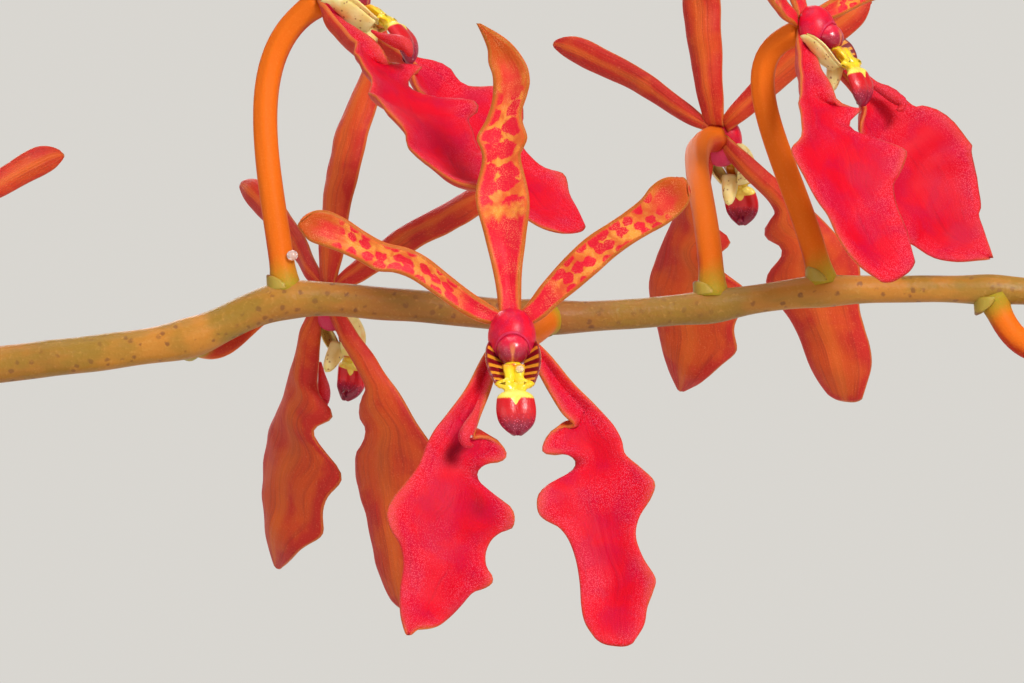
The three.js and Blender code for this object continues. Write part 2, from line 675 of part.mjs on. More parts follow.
// Bark fills the pot to just under its rim, with channels where the stem and the roots go in
function barkFill() {
  const inside = potInside(2 * GAP);
  const [rimInner] = inside.at(-1);
  const fill = lathe([[0, POT.floor + GAP], ...inside, [rimInner, BARK.top], [0, BARK.top]]);
  const room = lathe([[0, POT.floor], ...inside, [rimInner, POT.height], [0, POT.height]]);
  const chips = Array.from({ length: BARK.chips }, (_, i) => barkChip(i));
  const channels = [stemRoom(), ...ROOT_ROUTES.map((route) => rootTube(route, GAP))];
  const packed = fuse([fill, ...chips]).intersect(room);
  return channels.reduce((body, channel) => body.subtract(channel), packed);
}

const plant = new THREE.Group();
plant.add(pot(), meshOf("bark", fuse([barkFill()]), COLOURS.bark));
plant.add(leafyStem(), ...roots(), panicleAxis());
Object.entries(BUD_SPRAYS).forEach(([name, spray]) => plant.add(budSpray(name, spray)));
BLOOMS.forEach((bloom, i) => plant.add(...bloomNodes(bloom, i + 1)));

export default plant;
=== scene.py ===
"""Dresses a potted Renanthera philippinensis: an orchid in bark in a clay pot, with a branched spray
of scarlet blooms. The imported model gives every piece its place; this script gives it its form and finish.

Lengths in the classes below are millimetres, and meshes are written in metres.
"""

import logging
import random
from collections.abc import Callable, Sequence
from dataclasses import dataclass, field
from enum import Enum
from functools import cached_property, reduce
from math import cos, copysign, exp, hypot, pi, radians, sin, sqrt

import bmesh
import bpy
from mathutils import Matrix, Vector, noise


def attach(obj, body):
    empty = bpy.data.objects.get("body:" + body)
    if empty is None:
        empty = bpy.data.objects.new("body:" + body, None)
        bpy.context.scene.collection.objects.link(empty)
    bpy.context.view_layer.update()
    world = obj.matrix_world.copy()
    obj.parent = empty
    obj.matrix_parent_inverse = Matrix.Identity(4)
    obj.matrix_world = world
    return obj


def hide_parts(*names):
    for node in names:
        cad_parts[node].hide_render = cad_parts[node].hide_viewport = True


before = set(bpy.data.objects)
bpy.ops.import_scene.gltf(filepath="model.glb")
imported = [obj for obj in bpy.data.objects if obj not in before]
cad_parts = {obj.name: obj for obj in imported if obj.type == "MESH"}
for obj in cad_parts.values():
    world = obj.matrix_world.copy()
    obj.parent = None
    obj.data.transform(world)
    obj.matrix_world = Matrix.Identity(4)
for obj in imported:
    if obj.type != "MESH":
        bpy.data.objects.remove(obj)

LOG = logging.getLogger("renanthera")
MM = 0.001
ROOT_BODY = "root"
GOLDEN = 0.6180339887
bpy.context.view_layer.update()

Point = tuple[float, float, float]
Points = tuple[Point, ...]
Colour = tuple[float, float, float, float]
Socket = bpy.types.NodeSocket
Material = bpy.types.Material
Piece = bpy.types.Object
Verts = list[bmesh.types.BMVert]
Materials = Sequence[Material]
Shares = Sequence[float]
Grid = list[list[Vector]]
Field = Callable[[float, float], float]

Number = Socket | float

UP = Vector((0.0, 0.0, 1.0))
TURN = 2.0 * pi
TRACK_STEPS = 600
LIMB_STEPS = 400
LEAN_POWER = 2.6


def mix(a: float, b: float, t: float) -> float:
    """The value a share t of the way from a to b."""
    return a + (b - a) * t


def clamp(value: float, low: float = 0.0, high: float = 1.0) -> float:
    """The value kept between low and high."""
    return min(max(value, low), high)


def smooth(low: float, high: float, value: float) -> float:
    """An eased step of the value: 0 below low, 1 above high."""
    t = clamp((value - low) / (high - low))
    return t * t * (3.0 - 2.0 * t)


def draw(i: int) -> float:
    """The i-th draw of an even, repeatable spread over 0 to 1."""
    return (i * GOLDEN) % 1.0


def paint(code: str) -> Colour:
    """A colour as the shaders want it.

    Args:
        code: Six hexadecimal digits, as on a paint card.

    Returns:
        Linear red, green, blue and a full alpha.
    """
    parts = [int(code[i:i + 2], 16) / 255.0 for i in (0, 2, 4)]
    linear = [c / 12.92 if c <= 0.04045 else ((c + 0.055) / 1.055) ** 2.4 for c in parts]
    return (*linear, 1.0)


def put(name: str, data: bpy.types.ID) -> Piece:
    """Makes an object of its data and links it into the scene.

    Args:
        name: The object's name.
        data: Its mesh, light or camera.

    Returns:
        The object.
    """
    made = bpy.data.objects.new(name, data)
    bpy.context.scene.collection.objects.link(made)
    return made


# Lines and grids

@dataclass(frozen=True)
class Track:
    """A smooth open line through given points."""

    points: Points

    def at(self, share: float) -> Vector:
        """The point at a share of the way, counted by the given points.

        Args:
            share: The share, from 0 to 1.

        Returns:
            The point.
        """
        last = len(self.points) - 1
        place = clamp(share) * last
        i = min(int(place), last - 1)
        t = place - i
        b, c = Vector(self.points[i]), Vector(self.points[i + 1])
        a = Vector(self.points[i - 1]) if i > 0 else 2.0 * b - c
        d = Vector(self.points[i + 2]) if i < last - 1 else 2.0 * c - b
        return 0.5 * (2.0 * b + (c - a) * t + (2.0 * a - 5.0 * b + 4.0 * c - d) * t ** 2
                      + (3.0 * b - a - 3.0 * c + d) * t ** 3)

    def evenly(self, steps: int) -> list[Vector]:
        """Points at equal distances along the line, both ends included."""
        return self._placed([i / steps for i in range(steps + 1)], lambda step: step.length)

    def paced(self, shares: Shares, ease: float = 0.35) -> list[Vector]:
        """Points that keep pace along the line's own run, so that bays and lobes at its side hardly count.

        Args:
            shares: The shares of the way.
            ease: How much a step sideways counts.

        Returns:
            One point for each share.
        """
        run = (Vector(self.points[-1]) - Vector(self.points[0])).normalized()

        def weigh(step: Vector) -> float:
            """A step's length, with its sideways part eased."""
            onward = step.dot(run)
            return hypot(onward, ease * (step - run * onward).length)

        return self._placed(shares, weigh)

    def _placed(self, shares: Shares, weigh: Callable[[Vector], float]) -> list[Vector]:
        """Points at shares of the line's length.

        Args:
            shares: The shares, rising from 0 to 1.
            weigh: Measures each small step of the line.

        Returns:
            One point for each share.
        """
        fine = [self.at(i / TRACK_STEPS) for i in range(TRACK_STEPS + 1)]
        sums = [0.0]
        for a, b in zip(fine, fine[1:]):
            sums.append(sums[-1] + weigh(b - a))
        out, k = [], 0
        for share in shares:
            goal = sums[-1] * share
            while k < TRACK_STEPS - 1 and sums[k + 1] < goal:
                k += 1
            span = sums[k + 1] - sums[k]
            out.append(fine[k].lerp(fine[k + 1], clamp((goal - sums[k]) / span) if span else 0.0))
        return out


def bezier(a: Vector, b: Vector, c: Vector, d: Vector, steps: int) -> Track:
    """A cubic curve as a track of even steps.

    Args:
        a: Its start.
        b: The start's handle.
        c: The end's handle.
        d: Its end.
        steps: How many steps.

    Returns:
        The track.
    """
    points = []
    for i in range(steps + 1):
        t = i / steps
        s = 1.0 - t
        points.append(tuple(s ** 3 * a + 3 * s * s * t * b + 3 * s * t * t * c + t ** 3 * d))
    return Track(tuple(points))


def spread(count: int, crowd: float) -> list[float]:
    """count + 1 shares from 0 to 1, crowded towards both ends, fully so where crowd is 1."""
    even = [i / count for i in range(count + 1)]
    return [mix(t, 0.5 - 0.5 * cos(pi * t), crowd) for t in even]


# Mesh making

class Form:
    """A mesh in the making, with a map of shares over each surface and each point's distance from the rim."""

    def __init__(self) -> None:
        """Starts an empty form."""
        self.bm = bmesh.new()
        self.map = self.bm.loops.layers.uv.new("map")
        self.rim = self.bm.verts.layers.float.new("rim")
        self.tone = self.bm.verts.layers.float.new("tone")

    def sheet(self, rows: Grid, us: Shares, vs: Shares, finish: int = 0,
              rims: Sequence[Shares] | None = None,
              tones: Sequence[Shares] | None = None) -> Verts:
        """Adds a surface through rows of points.

        Args:
            rows: The points, one row for each share in vs.
            us: The map's shares across.
            vs: The map's shares along.
            finish: The number of its material.
            rims: Each point's distance from the rim.
            tones: Each point's tone, for the finish to read.

        Returns:
            The new vertices, row by row.
        """
        across, along = len(us) - 1, len(vs) - 1
        verts = bmesh.ops.create_grid(self.bm, x_segments=across, y_segments=along, size=0.5,
                                      calc_uvs=True)["verts"]
        for j in range(along + 1):
            for i in range(across + 1):
                vert = verts[j * (across + 1) + i]
                vert.co = rows[j][i]
                if rims:
                    vert[self.rim] = rims[j][i]
                if tones:
                    vert[self.tone] = tones[j][i]
        for face in {face for vert in verts for face in vert.link_faces}:
            face.material_index = finish
            face.smooth = True
            for loop in face.loops:
                share = loop[self.map].uv
                share.x, share.y = us[round(share.x * across)], vs[round(share.y * along)]
        return verts

    def blade(self, rows: Grid, us: Shares, vs: Shares, thickness: float,
              facing: Vector, finishes: tuple[int, int] = (0, 0),
              tones: Sequence[Shares] | None = None) -> None:
        """Adds a blade: two sheets that meet in a rounded rim.

        Args:
            rows: The blade's middle surface.
            us: The map's shares across.
            vs: The map's shares along.
            thickness: The thickness in the middle.
            facing: The way that the front faces.
            finishes: The materials of the front and the back.
            tones: Each point's tone, for the finish to read.
        """
        last, side = len(rows) - 1, len(us) - 1
        normals = [[self._normal(rows, i, j) for i in range(side + 1)] for j in range(last + 1)]
        middle = normals[last // 2][side // 2]
        turn = 1.0 if middle.dot(facing) > 0 else -1.0
        rims = [self._rim_distances(row, rows, j) for j, row in enumerate(rows)]
        for sign, finish in ((turn, finishes[0]), (-turn, finishes[1])):
            moved = [[rows[j][i] + normals[j][i] * sign * 0.5 * thickness * self._fullness(us[i], vs[j])
                      for i in range(side + 1)] for j in range(last + 1)]
            self.sheet(moved, us, vs, finish, rims, tones)

    @staticmethod
    def _fullness(u: float, v: float) -> float:
        """A blade's share of its full thickness, rounding off to nothing at the rim."""
        across, along = abs(2.0 * u - 1.0), abs(2.0 * v - 1.0)
        return sqrt(max(0.0, (1.0 - across ** 5) * (1.0 - along ** 16)))

    @staticmethod
    def _normal(rows: Grid, i: int, j: int) -> Vector:
        """The unit normal of a grid of points.

        Args:
            rows: The points.
            i: The place in its row.
            j: The row.

        Returns:
            The normal there.
        """
        last, side = len(rows) - 1, len(rows[0]) - 1
        along = rows[min(j + 1, last)][i] - rows[max(j - 1, 0)][i]
        across = rows[j][min(i + 1, side)] - rows[j][max(i - 1, 0)]
        return across.cross(along).normalized()

    @staticmethod
    def _rim_distances(row: list[Vector], rows: Grid, j: int) -> list[float]:
        """Each point's distance from the nearest long edge or the tip, for the row numbered j."""
        to_tip = (rows[-1][len(row) // 2] - row[len(row) // 2]).length if j < len(rows) - 1 else 0.0
        return [min((p - row[0]).length, (p - row[-1]).length, to_tip) for p in row]

    def tube(self, line: Sequence[Vector], radius: Field, sides: int, finish: int = 0) -> Verts:
        """Adds a closed tube along a line.

        Args:
            line: Its middle, at even distances.
            radius: Its radius by the share along and the angle in turns.
            sides: How many sides.
            finish: The number of its material.

        Returns:
            The new vertices, ring by ring.
        """
        steps = len(line) - 1
        heading = (line[1] - line[0]).normalized()
        side = UP if abs(heading.z) < 0.9 else heading.orthogonal()
        rows = []
        for k, centre in enumerate(line):
            heading = (line[min(k + 1, steps)] - line[max(k - 1, 0)]).normalized()
            side = (side - heading * side.dot(heading)).normalized()
            other = heading.cross(side)
            ring = []
            for i in range(sides + 1):
                turn = TURN * (i % sides) / sides
                reach = radius(k / steps, (i % sides) / sides)
                ring.append(centre + (side * cos(turn) + other * sin(turn)) * reach)
            rows.append(ring)
        rows = [[line[0].copy()] * (sides + 1), *rows, [line[-1].copy()] * (sides + 1)]
        shares = [0.0, *[k / steps for k in range(steps + 1)], 1.0]
        return self.sheet(rows, [i / sides for i in range(sides + 1)], shares, finish)

    def weld(self, distance: float = 1e-5) -> None:
        """Joins points that lie together and turns every face outwards.

        Args:
            distance: How far apart two points may lie.
        """
        bmesh.ops.remove_doubles(self.bm, verts=self.bm.verts[:], dist=distance)
        bmesh.ops.dissolve_degenerate(self.bm, edges=self.bm.edges[:], dist=distance * 0.1)
        bmesh.ops.recalc_face_normals(self.bm, faces=self.bm.faces[:])

    def place(self, matrix: Matrix) -> None:
        """Moves the whole form, and turns its faces out again if the move mirrors it.

        Args:
            matrix: The move.
        """
        bmesh.ops.transform(self.bm, matrix=matrix, verts=self.bm.verts[:])
        if matrix.determinant() < 0.0:
            bmesh.ops.reverse_faces(self.bm, faces=self.bm.faces[:])

    def mesh(self, name: str) -> bpy.types.Mesh:
        """Ends the form as a mesh in metres.

        Args:
            name: The mesh's name.

        Returns:
            The mesh.
        """
        bmesh.ops.scale(self.bm, vec=(MM, MM, MM), verts=self.bm.verts[:])
        mesh = bpy.data.meshes.new(name)
        self.bm.to_mesh(mesh)
        self.bm.free()
        return mesh

    def piece(self, name: str, replaces: Sequence[str], materials: Materials) -> Piece:
        """Ends the form as a piece of the object, in metres.

        Args:
            name: The piece's name.
            replaces: The CAD nodes that it stands for.
            materials: Its materials, by number.

        Returns:
            The finished object.
        """
        mesh = self.mesh(name)
        for material in materials:
            mesh.materials.append(material)
        made = put(name, mesh)
        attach(made, ROOT_BODY)
        if replaces:
            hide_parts(*replaces)
        LOG.info("%s: %d faces", name, len(mesh.polygons))
        return made


# Shader making

class Sketch:
    """The node tree of one material, drawn call by call."""

    def __init__(self, name: str) -> None:
        """Starts a material with its Principled shader.

        Args:
            name: The material's name.
        """
        self.material = bpy.data.materials.new(name)
        self.material.use_nodes = True
        self.tree = self.material.node_tree
        self.shader = self.tree.nodes["Principled BSDF"]

    def add(self, kind: str, inputs: dict[str | int, object], **settings: object) -> bpy.types.Node:
        """Adds a node.

        Args:
            kind: The node's type.
            inputs: Its inputs, each a socket to link or a value to set.
            settings: Its own settings.

        Returns:
            The node.
        """
        node = self.tree.nodes.new(kind)
        for key, value in settings.items():
            setattr(node, key, value)
        for key, value in inputs.items():
            self.feed(node.inputs[key], value)
        return node

    def feed(self, socket: Socket, value: object) -> None:
        """Gives a socket its value.

        Args:
            socket: The socket.
            value: A socket to link, or a value to set.
        """
        if isinstance(value, bpy.types.NodeSocket):
            self.tree.links.new(value, socket)
        else:
            socket.default_value = value

    @cached_property
    def place(self) -> Socket:
        """The point's place on the object, in millimetres."""
        place = self.add("ShaderNodeTexCoord", {}).outputs["Object"]
        scaled = self.add("ShaderNodeVectorMath", {0: place, "Scale": 1.0 / MM}, operation="SCALE")
        return scaled.outputs["Vector"]

    def shares(self) -> tuple[Socket, Socket]:
        """The map's shares across and along."""
        both = self.add("ShaderNodeUVMap", {}, uv_map="map").outputs[0]
        split = self.add("ShaderNodeSeparateXYZ", {0: both})
        return split.outputs["X"], split.outputs["Y"]

    def carried(self, name: str) -> Socket:
        """A value that the mesh carries at each point."""
        return self.add("ShaderNodeAttribute", {}, attribute_name=name).outputs["Fac"]

    def join(self, x: Socket | float, y: Socket | float, z: Socket | float = 0.0) -> Socket:
        """A vector from three values."""
        return self.add("ShaderNodeCombineXYZ", {0: x, 1: y, 2: z}).outputs[0]

    def reckon(self, operation: str, *values: Number) -> Socket:
        """The result of the math node's operation on the values."""
        return self.add("ShaderNodeMath", dict(enumerate(values)), operation=operation).outputs[0]

    def sum(self, *terms: Number | tuple[Number, float]) -> Number:
        """The sum of the terms, each a value alone or a value and its weight."""
        weighed = [self.times(*term) if isinstance(term, tuple) else term for term in terms]
        return reduce(lambda a, b: self.reckon("ADD", a, b), weighed)

    def times(self, *values: Number) -> Number:
        """The product of the values."""
        return reduce(lambda a, b: self.reckon("MULTIPLY", a, b), values)

    def distance(self, value: Socket, middle: float) -> Socket:
        """How far a value is from a middle one."""
        return self.reckon("ABSOLUTE", self.reckon("SUBTRACT", value, middle))

    def ripple(self, value: Socket, count: float, lean: Socket | float = 0.0) -> Socket:
        """Even waves between 0 and 1, count of them in a value of 1, shifted by the lean as an angle."""
        wave = self.reckon("SINE", self.sum((value, TURN * count), lean))
        return self.sum((wave, 0.5), 0.5)

    def step(self, value: Socket, low: float, high: float, start: float = 0.0, end: float = 1.0) -> Socket:
        """An eased step of the value, from the height start at low to the height end at high."""
        inputs = {"Value": value, "From Min": low, "From Max": high, "To Min": start, "To Max": end}
        return self.add("ShaderNodeMapRange", inputs, interpolation_type="SMOOTHSTEP").outputs["Result"]

    def grain(self, place: Socket, size: float, detail: float = 2.0, warp: float = 0.0) -> Socket:
        """Soft noise, with blotches of about the given size in the units of place."""
        inputs = {"Vector": place, "Scale": 1.0 / size, "Detail": detail, "Distortion": warp}
        return self.add("ShaderNodeTexNoise", inputs).outputs["Fac"]

    def cells(self, place: Socket, size: float, unevenness: float = 1.0, space: str = "3D") -> Socket:
        """The distance from the middle of scattered cells of about the given size, in space or on a map."""
        inputs = {"Vector": place, "Scale": 1.0 / size, "Randomness": unevenness}
        return self.add("ShaderNodeTexVoronoi", inputs, voronoi_dimensions=space).outputs["Distance"]

    def ramp(self, value: Socket, stops: Sequence[tuple[float, str]]) -> Socket:
        """Colours laid along a value.

        Args:
            value: The value.
            stops: Each colour's place and paint code.

        Returns:
            The colour.
        """
        node = self.add("ShaderNodeValToRGB", {"Fac": value})
        line = node.color_ramp
        line.interpolation = "EASE"
        while len(line.elements) < len(stops):
            line.elements.new(1.0)
        for element, (place, code) in zip(line.elements, stops):
            element.position = place
            element.color = paint(code)
        return node.outputs["Color"]

    def blend(self, share: Socket | float, a: Socket | str, b: Socket | str) -> Socket:
        """One colour giving way to another.

        Args:
            share: How far it gives way.
            a: The first colour.
            b: The second colour.

        Returns:
            The colour between them.
        """
        node = self.tree.nodes.new("ShaderNodeMix")
        node.data_type = "RGBA"
        node.clamp_factor = True
        for socket, value in zip((node.inputs[0], node.inputs[6], node.inputs[7]), (share, a, b)):
            self.feed(socket, paint(value) if isinstance(value, str) else value)
        return node.outputs[2]

    def tint(self, body: Socket, colour: str, value: Socket, low: float, high: float,
             most: float = 1.0) -> Socket:
        """The body colour giving way to another along an eased step, at most by the share most."""
        return self.blend(self.step(value, low, high, 0.0, most), body, colour)

    def relief(self, *layers: tuple[Socket, float]) -> Socket:
        """Bump from height maps.

        Args:
            layers: Each layer's height, from 0 to 1, and the millimetres that a height of 1 stands for.

        Returns:
            The bumped normal.
        """
        below: dict[str, Socket] = {}
        for height, depth in layers:
            inputs = {"Height": height, "Distance": depth * MM, "Strength": 1.0, **below}
            below = {"Normal": self.add("ShaderNodeBump", inputs).outputs["Normal"]}
        return below["Normal"]

    def finish(self, colour: Socket, roughness: Socket | float, normal: Socket | None = None,
               **sockets: object) -> Material:
        """Fills in the shader.

        Args:
            colour: The base colour.
            roughness: The roughness.
            normal: The bumped normal.
            sockets: Constants for the shader's other sockets, with _ for a space.

        Returns:
            The material.
        """
        fed = {"Base Color": colour, "Roughness": roughness, **sockets}
        if normal is not None:
            fed["Normal"] = normal
        for name, value in fed.items():
            self.feed(self.shader.inputs[name.replace("_", " ")], value)
        return self.material


FLESH = {"Subsurface_Weight": 0.18, "Subsurface_Radius": (1.0, 0.25, 0.12), "Subsurface_Scale": 0.0007}
THIN_FLESH = {**FLESH, "Subsurface_Weight": 0.07}


# Finishes of the bloom

@dataclass(frozen=True)
class SepalFinish:
    """The front of the two lower sepals: crimson under fine pale pink specks painted as the papillae's
    glints, salmon on the lobes' rims, and painted shade in the dent spots.
    """

    crimson: str = "d20020"
    rose: str = "c4002e"
    shade: str = "840024"
    salmon: str = "cc4438"
    gold: str = "b85e1e"
    painted_glints: str = "e4546c"
    # dusk is the dark crimson of painted shade, laid where the tone marks a dent spot.
    dusk: str = "5c0014"
    rim_width: float = 0.8
    grain_size: float = 0.085

    def material(self) -> Material:
        """Draws the material."""
        s = Sketch("sepal front")
        # The tone carries the margins' lean, and below 0 the spots of painted shade.
        rim, lobe = s.carried("rim"), s.carried("tone")
        across, along = s.shares()
        patch = s.grain(s.place, 2.2, 3.0, 0.4)
        cloud = s.grain(s.place, 4.0)
        fine = s.grain(s.place, self.grain_size, 2.0)
        streak = s.grain(s.join(s.times(across, 16.0), s.times(along, 4.0)), 1.0, 3.0)
        body = s.blend(s.step(patch, 0.4, 0.66), self.crimson, self.rose)
        body = s.tint(body, self.shade, streak, 0.55, 0.8, 0.28)
        near = s.step(s.sum(cloud, (fine, 0.5), rim), 0.9 + self.rim_width, 0.75)
        raised = s.step(s.sum(lobe, (patch, 0.6)), 0.25, 0.85, 0.12, 0.85)
        body = s.blend(s.times(near, raised), body, self.salmon)
        edge = s.step(s.sum((fine, 0.15), (patch, 0.25), rim), 0.36, 0.2)
        body = s.blend(s.times(edge, s.step(raised, 0.1, 0.8, 0.25, 0.8)), body, self.gold)
        # Papillae: their bump and lower roughness are real, their pale pink colour is painted glint, denser
        # on patches, near rims and on raised lobes.
        papillae_and_glints = s.step(s.cells(s.place, self.grain_size), 0.55, 0.15)
        dense = s.sum(cloud, (s.step(rim, 2.4, 0.3), 0.28), (raised, 0.2))
        where = s.step(s.sum(dense, (fine, 0.4)), 0.62, 1.15)
        body = s.blend(s.times(papillae_and_glints, s.times(where, 0.8)), body, self.painted_glints)
        # Painted shade: darkens the blade in the dent spots, where the tone is below 0.
        body = s.tint(body, self.dusk, lobe, -0.15, -1.0, 0.6)
        relief = s.relief((streak, 0.06), (s.sum((fine, 0.6), (papillae_and_glints, 0.5)), 0.015))
        rough = s.step(s.times(papillae_and_glints, where), 0.0, 1.0, 0.52, 0.34)
        return s.finish(body, rough, relief, Specular_IOR_Level=0.12, **FLESH)


@dataclass(frozen=True)
class SpottedFinish:
    """The front of the upright sepal and the petals: crimson foot, blotches on apricot, orange tip, under
    pale specks painted as glints.

    Shares of the length: foot ends between its two values, spots lie between theirs, and the smear too.
    """

    name: str
    length: float
    width: float
    foot: tuple[float, float]
    spots: tuple[float, float]
    spot_size: tuple[float, float]
    spot_share: float
    smear: tuple[float, float]
    edge: float
    crimson: str = "da0230"
    salmon: str = "d45a26"
    apricot: str = "e8983a"
    orange: str = "bc4a0e"
    gold: str = "a86018"

    def material(self) -> Material:
        """Draws the material."""
        s = Sketch(self.name)
        rim = s.carried("rim")
        across, along = s.shares()
        fine = s.grain(s.place, 0.1, 3.0)
        patch = s.grain(s.place, 1.1, 2.0, 0.6)
        ragged = s.sum((fine, 0.3), (patch, 0.3), rim)
        inner = s.step(ragged, self.edge + 0.2, self.edge + 0.4)
        ground = s.blend(s.times(s.step(patch, 0.3, 0.7), inner), self.salmon, self.apricot)
        ground = s.blend(s.step(s.sum(along, (patch, 0.14)), self.spots[1] - 0.04, 1.0), ground, self.orange)
        flat = s.join(s.times(across, self.width), s.times(along, self.length))
        wobble = s.grain(flat, 0.5)
        spread_out = s.join(s.times(across, self.width / self.spot_size[0]),
                            s.times(along, self.length / self.spot_size[1]))
        cell = s.sum(s.cells(spread_out, 1.0, 0.5, "2D"), (wobble, 0.45))
        fade = s.times(s.step(along, mix(*self.spots, 0.45), self.spots[1]), 0.12)
        blotch = s.step(s.sum(cell, fade), self.spot_share + 0.05, self.spot_share - 0.05)
        shifted = s.sum(along, (wobble, 0.06))
        zone = s.times(s.step(shifted, self.spots[0], self.spots[0] + 0.03),
                       s.step(shifted, self.spots[1] + 0.06, self.spots[1] - 0.04))
        foot = s.step(shifted, self.foot[1], self.foot[0])
        smear = s.times(s.step(shifted, self.smear[0], self.smear[0] + 0.1),
                        s.step(shifted, self.smear[1], self.smear[1] - 0.1))
        smear = s.times(smear, s.times(s.step(s.sum(rim, (patch, 0.8)), 0.75, 1.2), 0.7))
        widest = s.reckon("MAXIMUM", s.reckon("MAXIMUM", s.times(blotch, zone), foot), smear)
        red = s.times(widest, inner)
        body = s.blend(s.times(red, 0.96), ground, self.crimson)
        edge = s.step(s.sum(rim, (fine, 0.15)), 0.24, 0.12)
        body = s.blend(s.times(edge, 0.75), body, self.gold)
        # Pale specks painted as the papillae's glints.
        papillae_and_glints = s.step(s.cells(s.place, 0.085), 0.5, 0.2)
        body = s.blend(s.times(papillae_and_glints, s.step(patch, 0.4, 0.7, 0.08, 0.4)), body, "f8b27c")
        dents = s.grain(s.join(s.times(across, 9.0), s.times(along, 5.0)), 1.0, 2.0)
        relief = s.relief((dents, 0.06), (fine, 0.02))
        return s.finish(body, 0.48, relief, Specular_IOR_Level=0.18, **FLESH)


@dataclass(frozen=True)
class BackFinish:
    """The backs of the tepals: matt orange flushed with red along the edges."""

    orange: str = "d04c16"
    red: str = "c02418"

    def material(self) -> Material:
        """Draws the material."""
        s = Sketch("tepal back")
        rim = s.carried("rim")
        across, along = s.shares()
        patch = s.grain(s.place, 3.0, 3.0, 0.5)
        fine = s.grain(s.place, 0.12, 3.0)
        flush = s.step(s.sum(patch, (s.step(rim, 1.6, 0.2), 0.25)), 0.42, 0.75)
        streak = s.grain(s.join(s.times(across, 18.0), s.times(along, 3.0)), 1.0, 3.0)
        body = s.blend(flush, self.orange, self.red)
        body = s.tint(body, "d9661e", s.distance(across, 0.5), 0.16, 0.02, 0.6)
        body = s.tint(body, "8a1c14", streak, 0.48, 0.72, 0.35)
        body = s.tint(body, "cc7028", rim, 0.22, 0.08, 0.7)
        body = s.tint(body, "ec8458", fine, 0.55, 0.75, 0.3)
        relief = s.relief((streak, 0.08), (fine, 0.03))
        return s.finish(body, 0.55, relief, Specular_IOR_Level=0.3, **FLESH)


@dataclass(frozen=True)
class HoodFinish:
    """The column's hood: satin crimson, cooler and paler towards its rim, with pink specks painted as glints.
    """

    crimson: str = "dc0028"
    rim: str = "cc2c54"

    def material(self) -> Material:
        """Draws the material."""
        s = Sketch("column hood")
        fine = s.grain(s.place, 0.1)
        patch = s.grain(s.place, 0.8)
        body = s.blend(s.step(patch, 0.4, 0.65), self.crimson, "c40234")
        body = s.blend(s.step(s.sum(s.carried("tone"), (fine, 0.3)), 0.45, 1.1), body, self.rim)
        # Pink specks painted as the papillae's glints.
        body = s.tint(body, "e8567e", s.cells(s.place, 0.1), 0.4, 0.15, 0.3)
        return s.finish(body, 0.4, s.relief((fine, 0.012)), Coat_Weight=0.05, Coat_Roughness=0.25,
                        Specular_IOR_Level=0.25, **FLESH)


@dataclass(frozen=True)
class CapFinish:
    """The round cap at the column's end: two dark crimson cheeks beside a tan stripe, under pale pink specks
    painted as glints.
    """

    cheek: str = "9a062c"
    rose: str = "dc143c"
    stripe: str = "d87a44"

    def material(self) -> Material:
        """Draws the material."""
        s = Sketch("column cap")
        across, up = s.shares()
        fine = s.grain(s.place, 0.12)
        body = s.blend(s.step(s.sum(up, (fine, 0.25)), 0.45, 0.95), self.cheek, self.rose)
        off = s.sum(s.distance(across, 0.5), (fine, 0.03))
        width = s.step(up, 0.2, 0.7, 0.04, 0.1)
        gap = s.reckon("SUBTRACT", off, width)
        stripe = s.times(s.step(gap, 0.04, -0.03), s.step(up, 0.8, 0.45))
        body = s.blend(s.times(stripe, 0.85), body, self.stripe)
        body = s.tint(body, "d8903c", up, 0.12, 0.04)
        # Pale pink specks painted as the papillae's glints.
        body = s.blend(s.times(s.step(s.cells(s.place, 0.15), 0.22, 0.1), 0.35), body, "ff9cb0")
        return s.finish(body, 0.3, s.relief((fine, 0.012)), Coat_Weight=0.3, Coat_Roughness=0.15, **FLESH)


@dataclass(frozen=True)
class SideLobeFinish:
    """The lip's side lobes: maroon with gold ribs that run from the outer edge down to the throat."""

    maroon: str = "7a0614"
    gold: str = "e09424"
    ribs: float = 6.6
    lean: float = 3.6

    def material(self) -> Material:
        """Draws the material."""
        s = Sketch("lip side lobe")
        across, along = s.shares()
        fine = s.grain(s.place, 0.25)
        wave = s.ripple(along, self.ribs, s.times(s.sum(across, (fine, 0.12)), -self.lean))
        inside = s.times(s.step(across, 0.02, 0.12), s.step(along, 0.03, 0.1))
        body = s.blend(s.times(s.step(wave, 0.5, 0.78), inside), self.maroon, self.gold)
        body = s.tint(body, "e8ae1c", along, 0.9, 0.97)
        return s.finish(body, 0.36, s.relief((wave, 0.03)), Coat_Weight=0.2, Coat_Roughness=0.25, **FLESH)


@dataclass(frozen=True)
class SpurFinish:
    """The outside of the lip and its spur: waxy cream with brown freckles."""

    cream: str = "e8cf7a"
    brown: str = "8c4a1c"

    def material(self) -> Material:
        """Draws the material."""
        s = Sketch("lip outside")
        fine = s.grain(s.place, 0.2)
        body = s.blend(s.step(s.grain(s.place, 1.2), 0.4, 0.65), self.cream, "f0e09a")
        freckle = s.step(s.sum(s.cells(s.place, 0.42), (fine, 0.3)), 0.42, 0.28)
        body = s.blend(s.times(freckle, 0.75), body, self.brown)
        return s.finish(body, 0.4, s.relief((fine, 0.02)), Coat_Weight=0.15, Coat_Roughness=0.25, **FLESH)


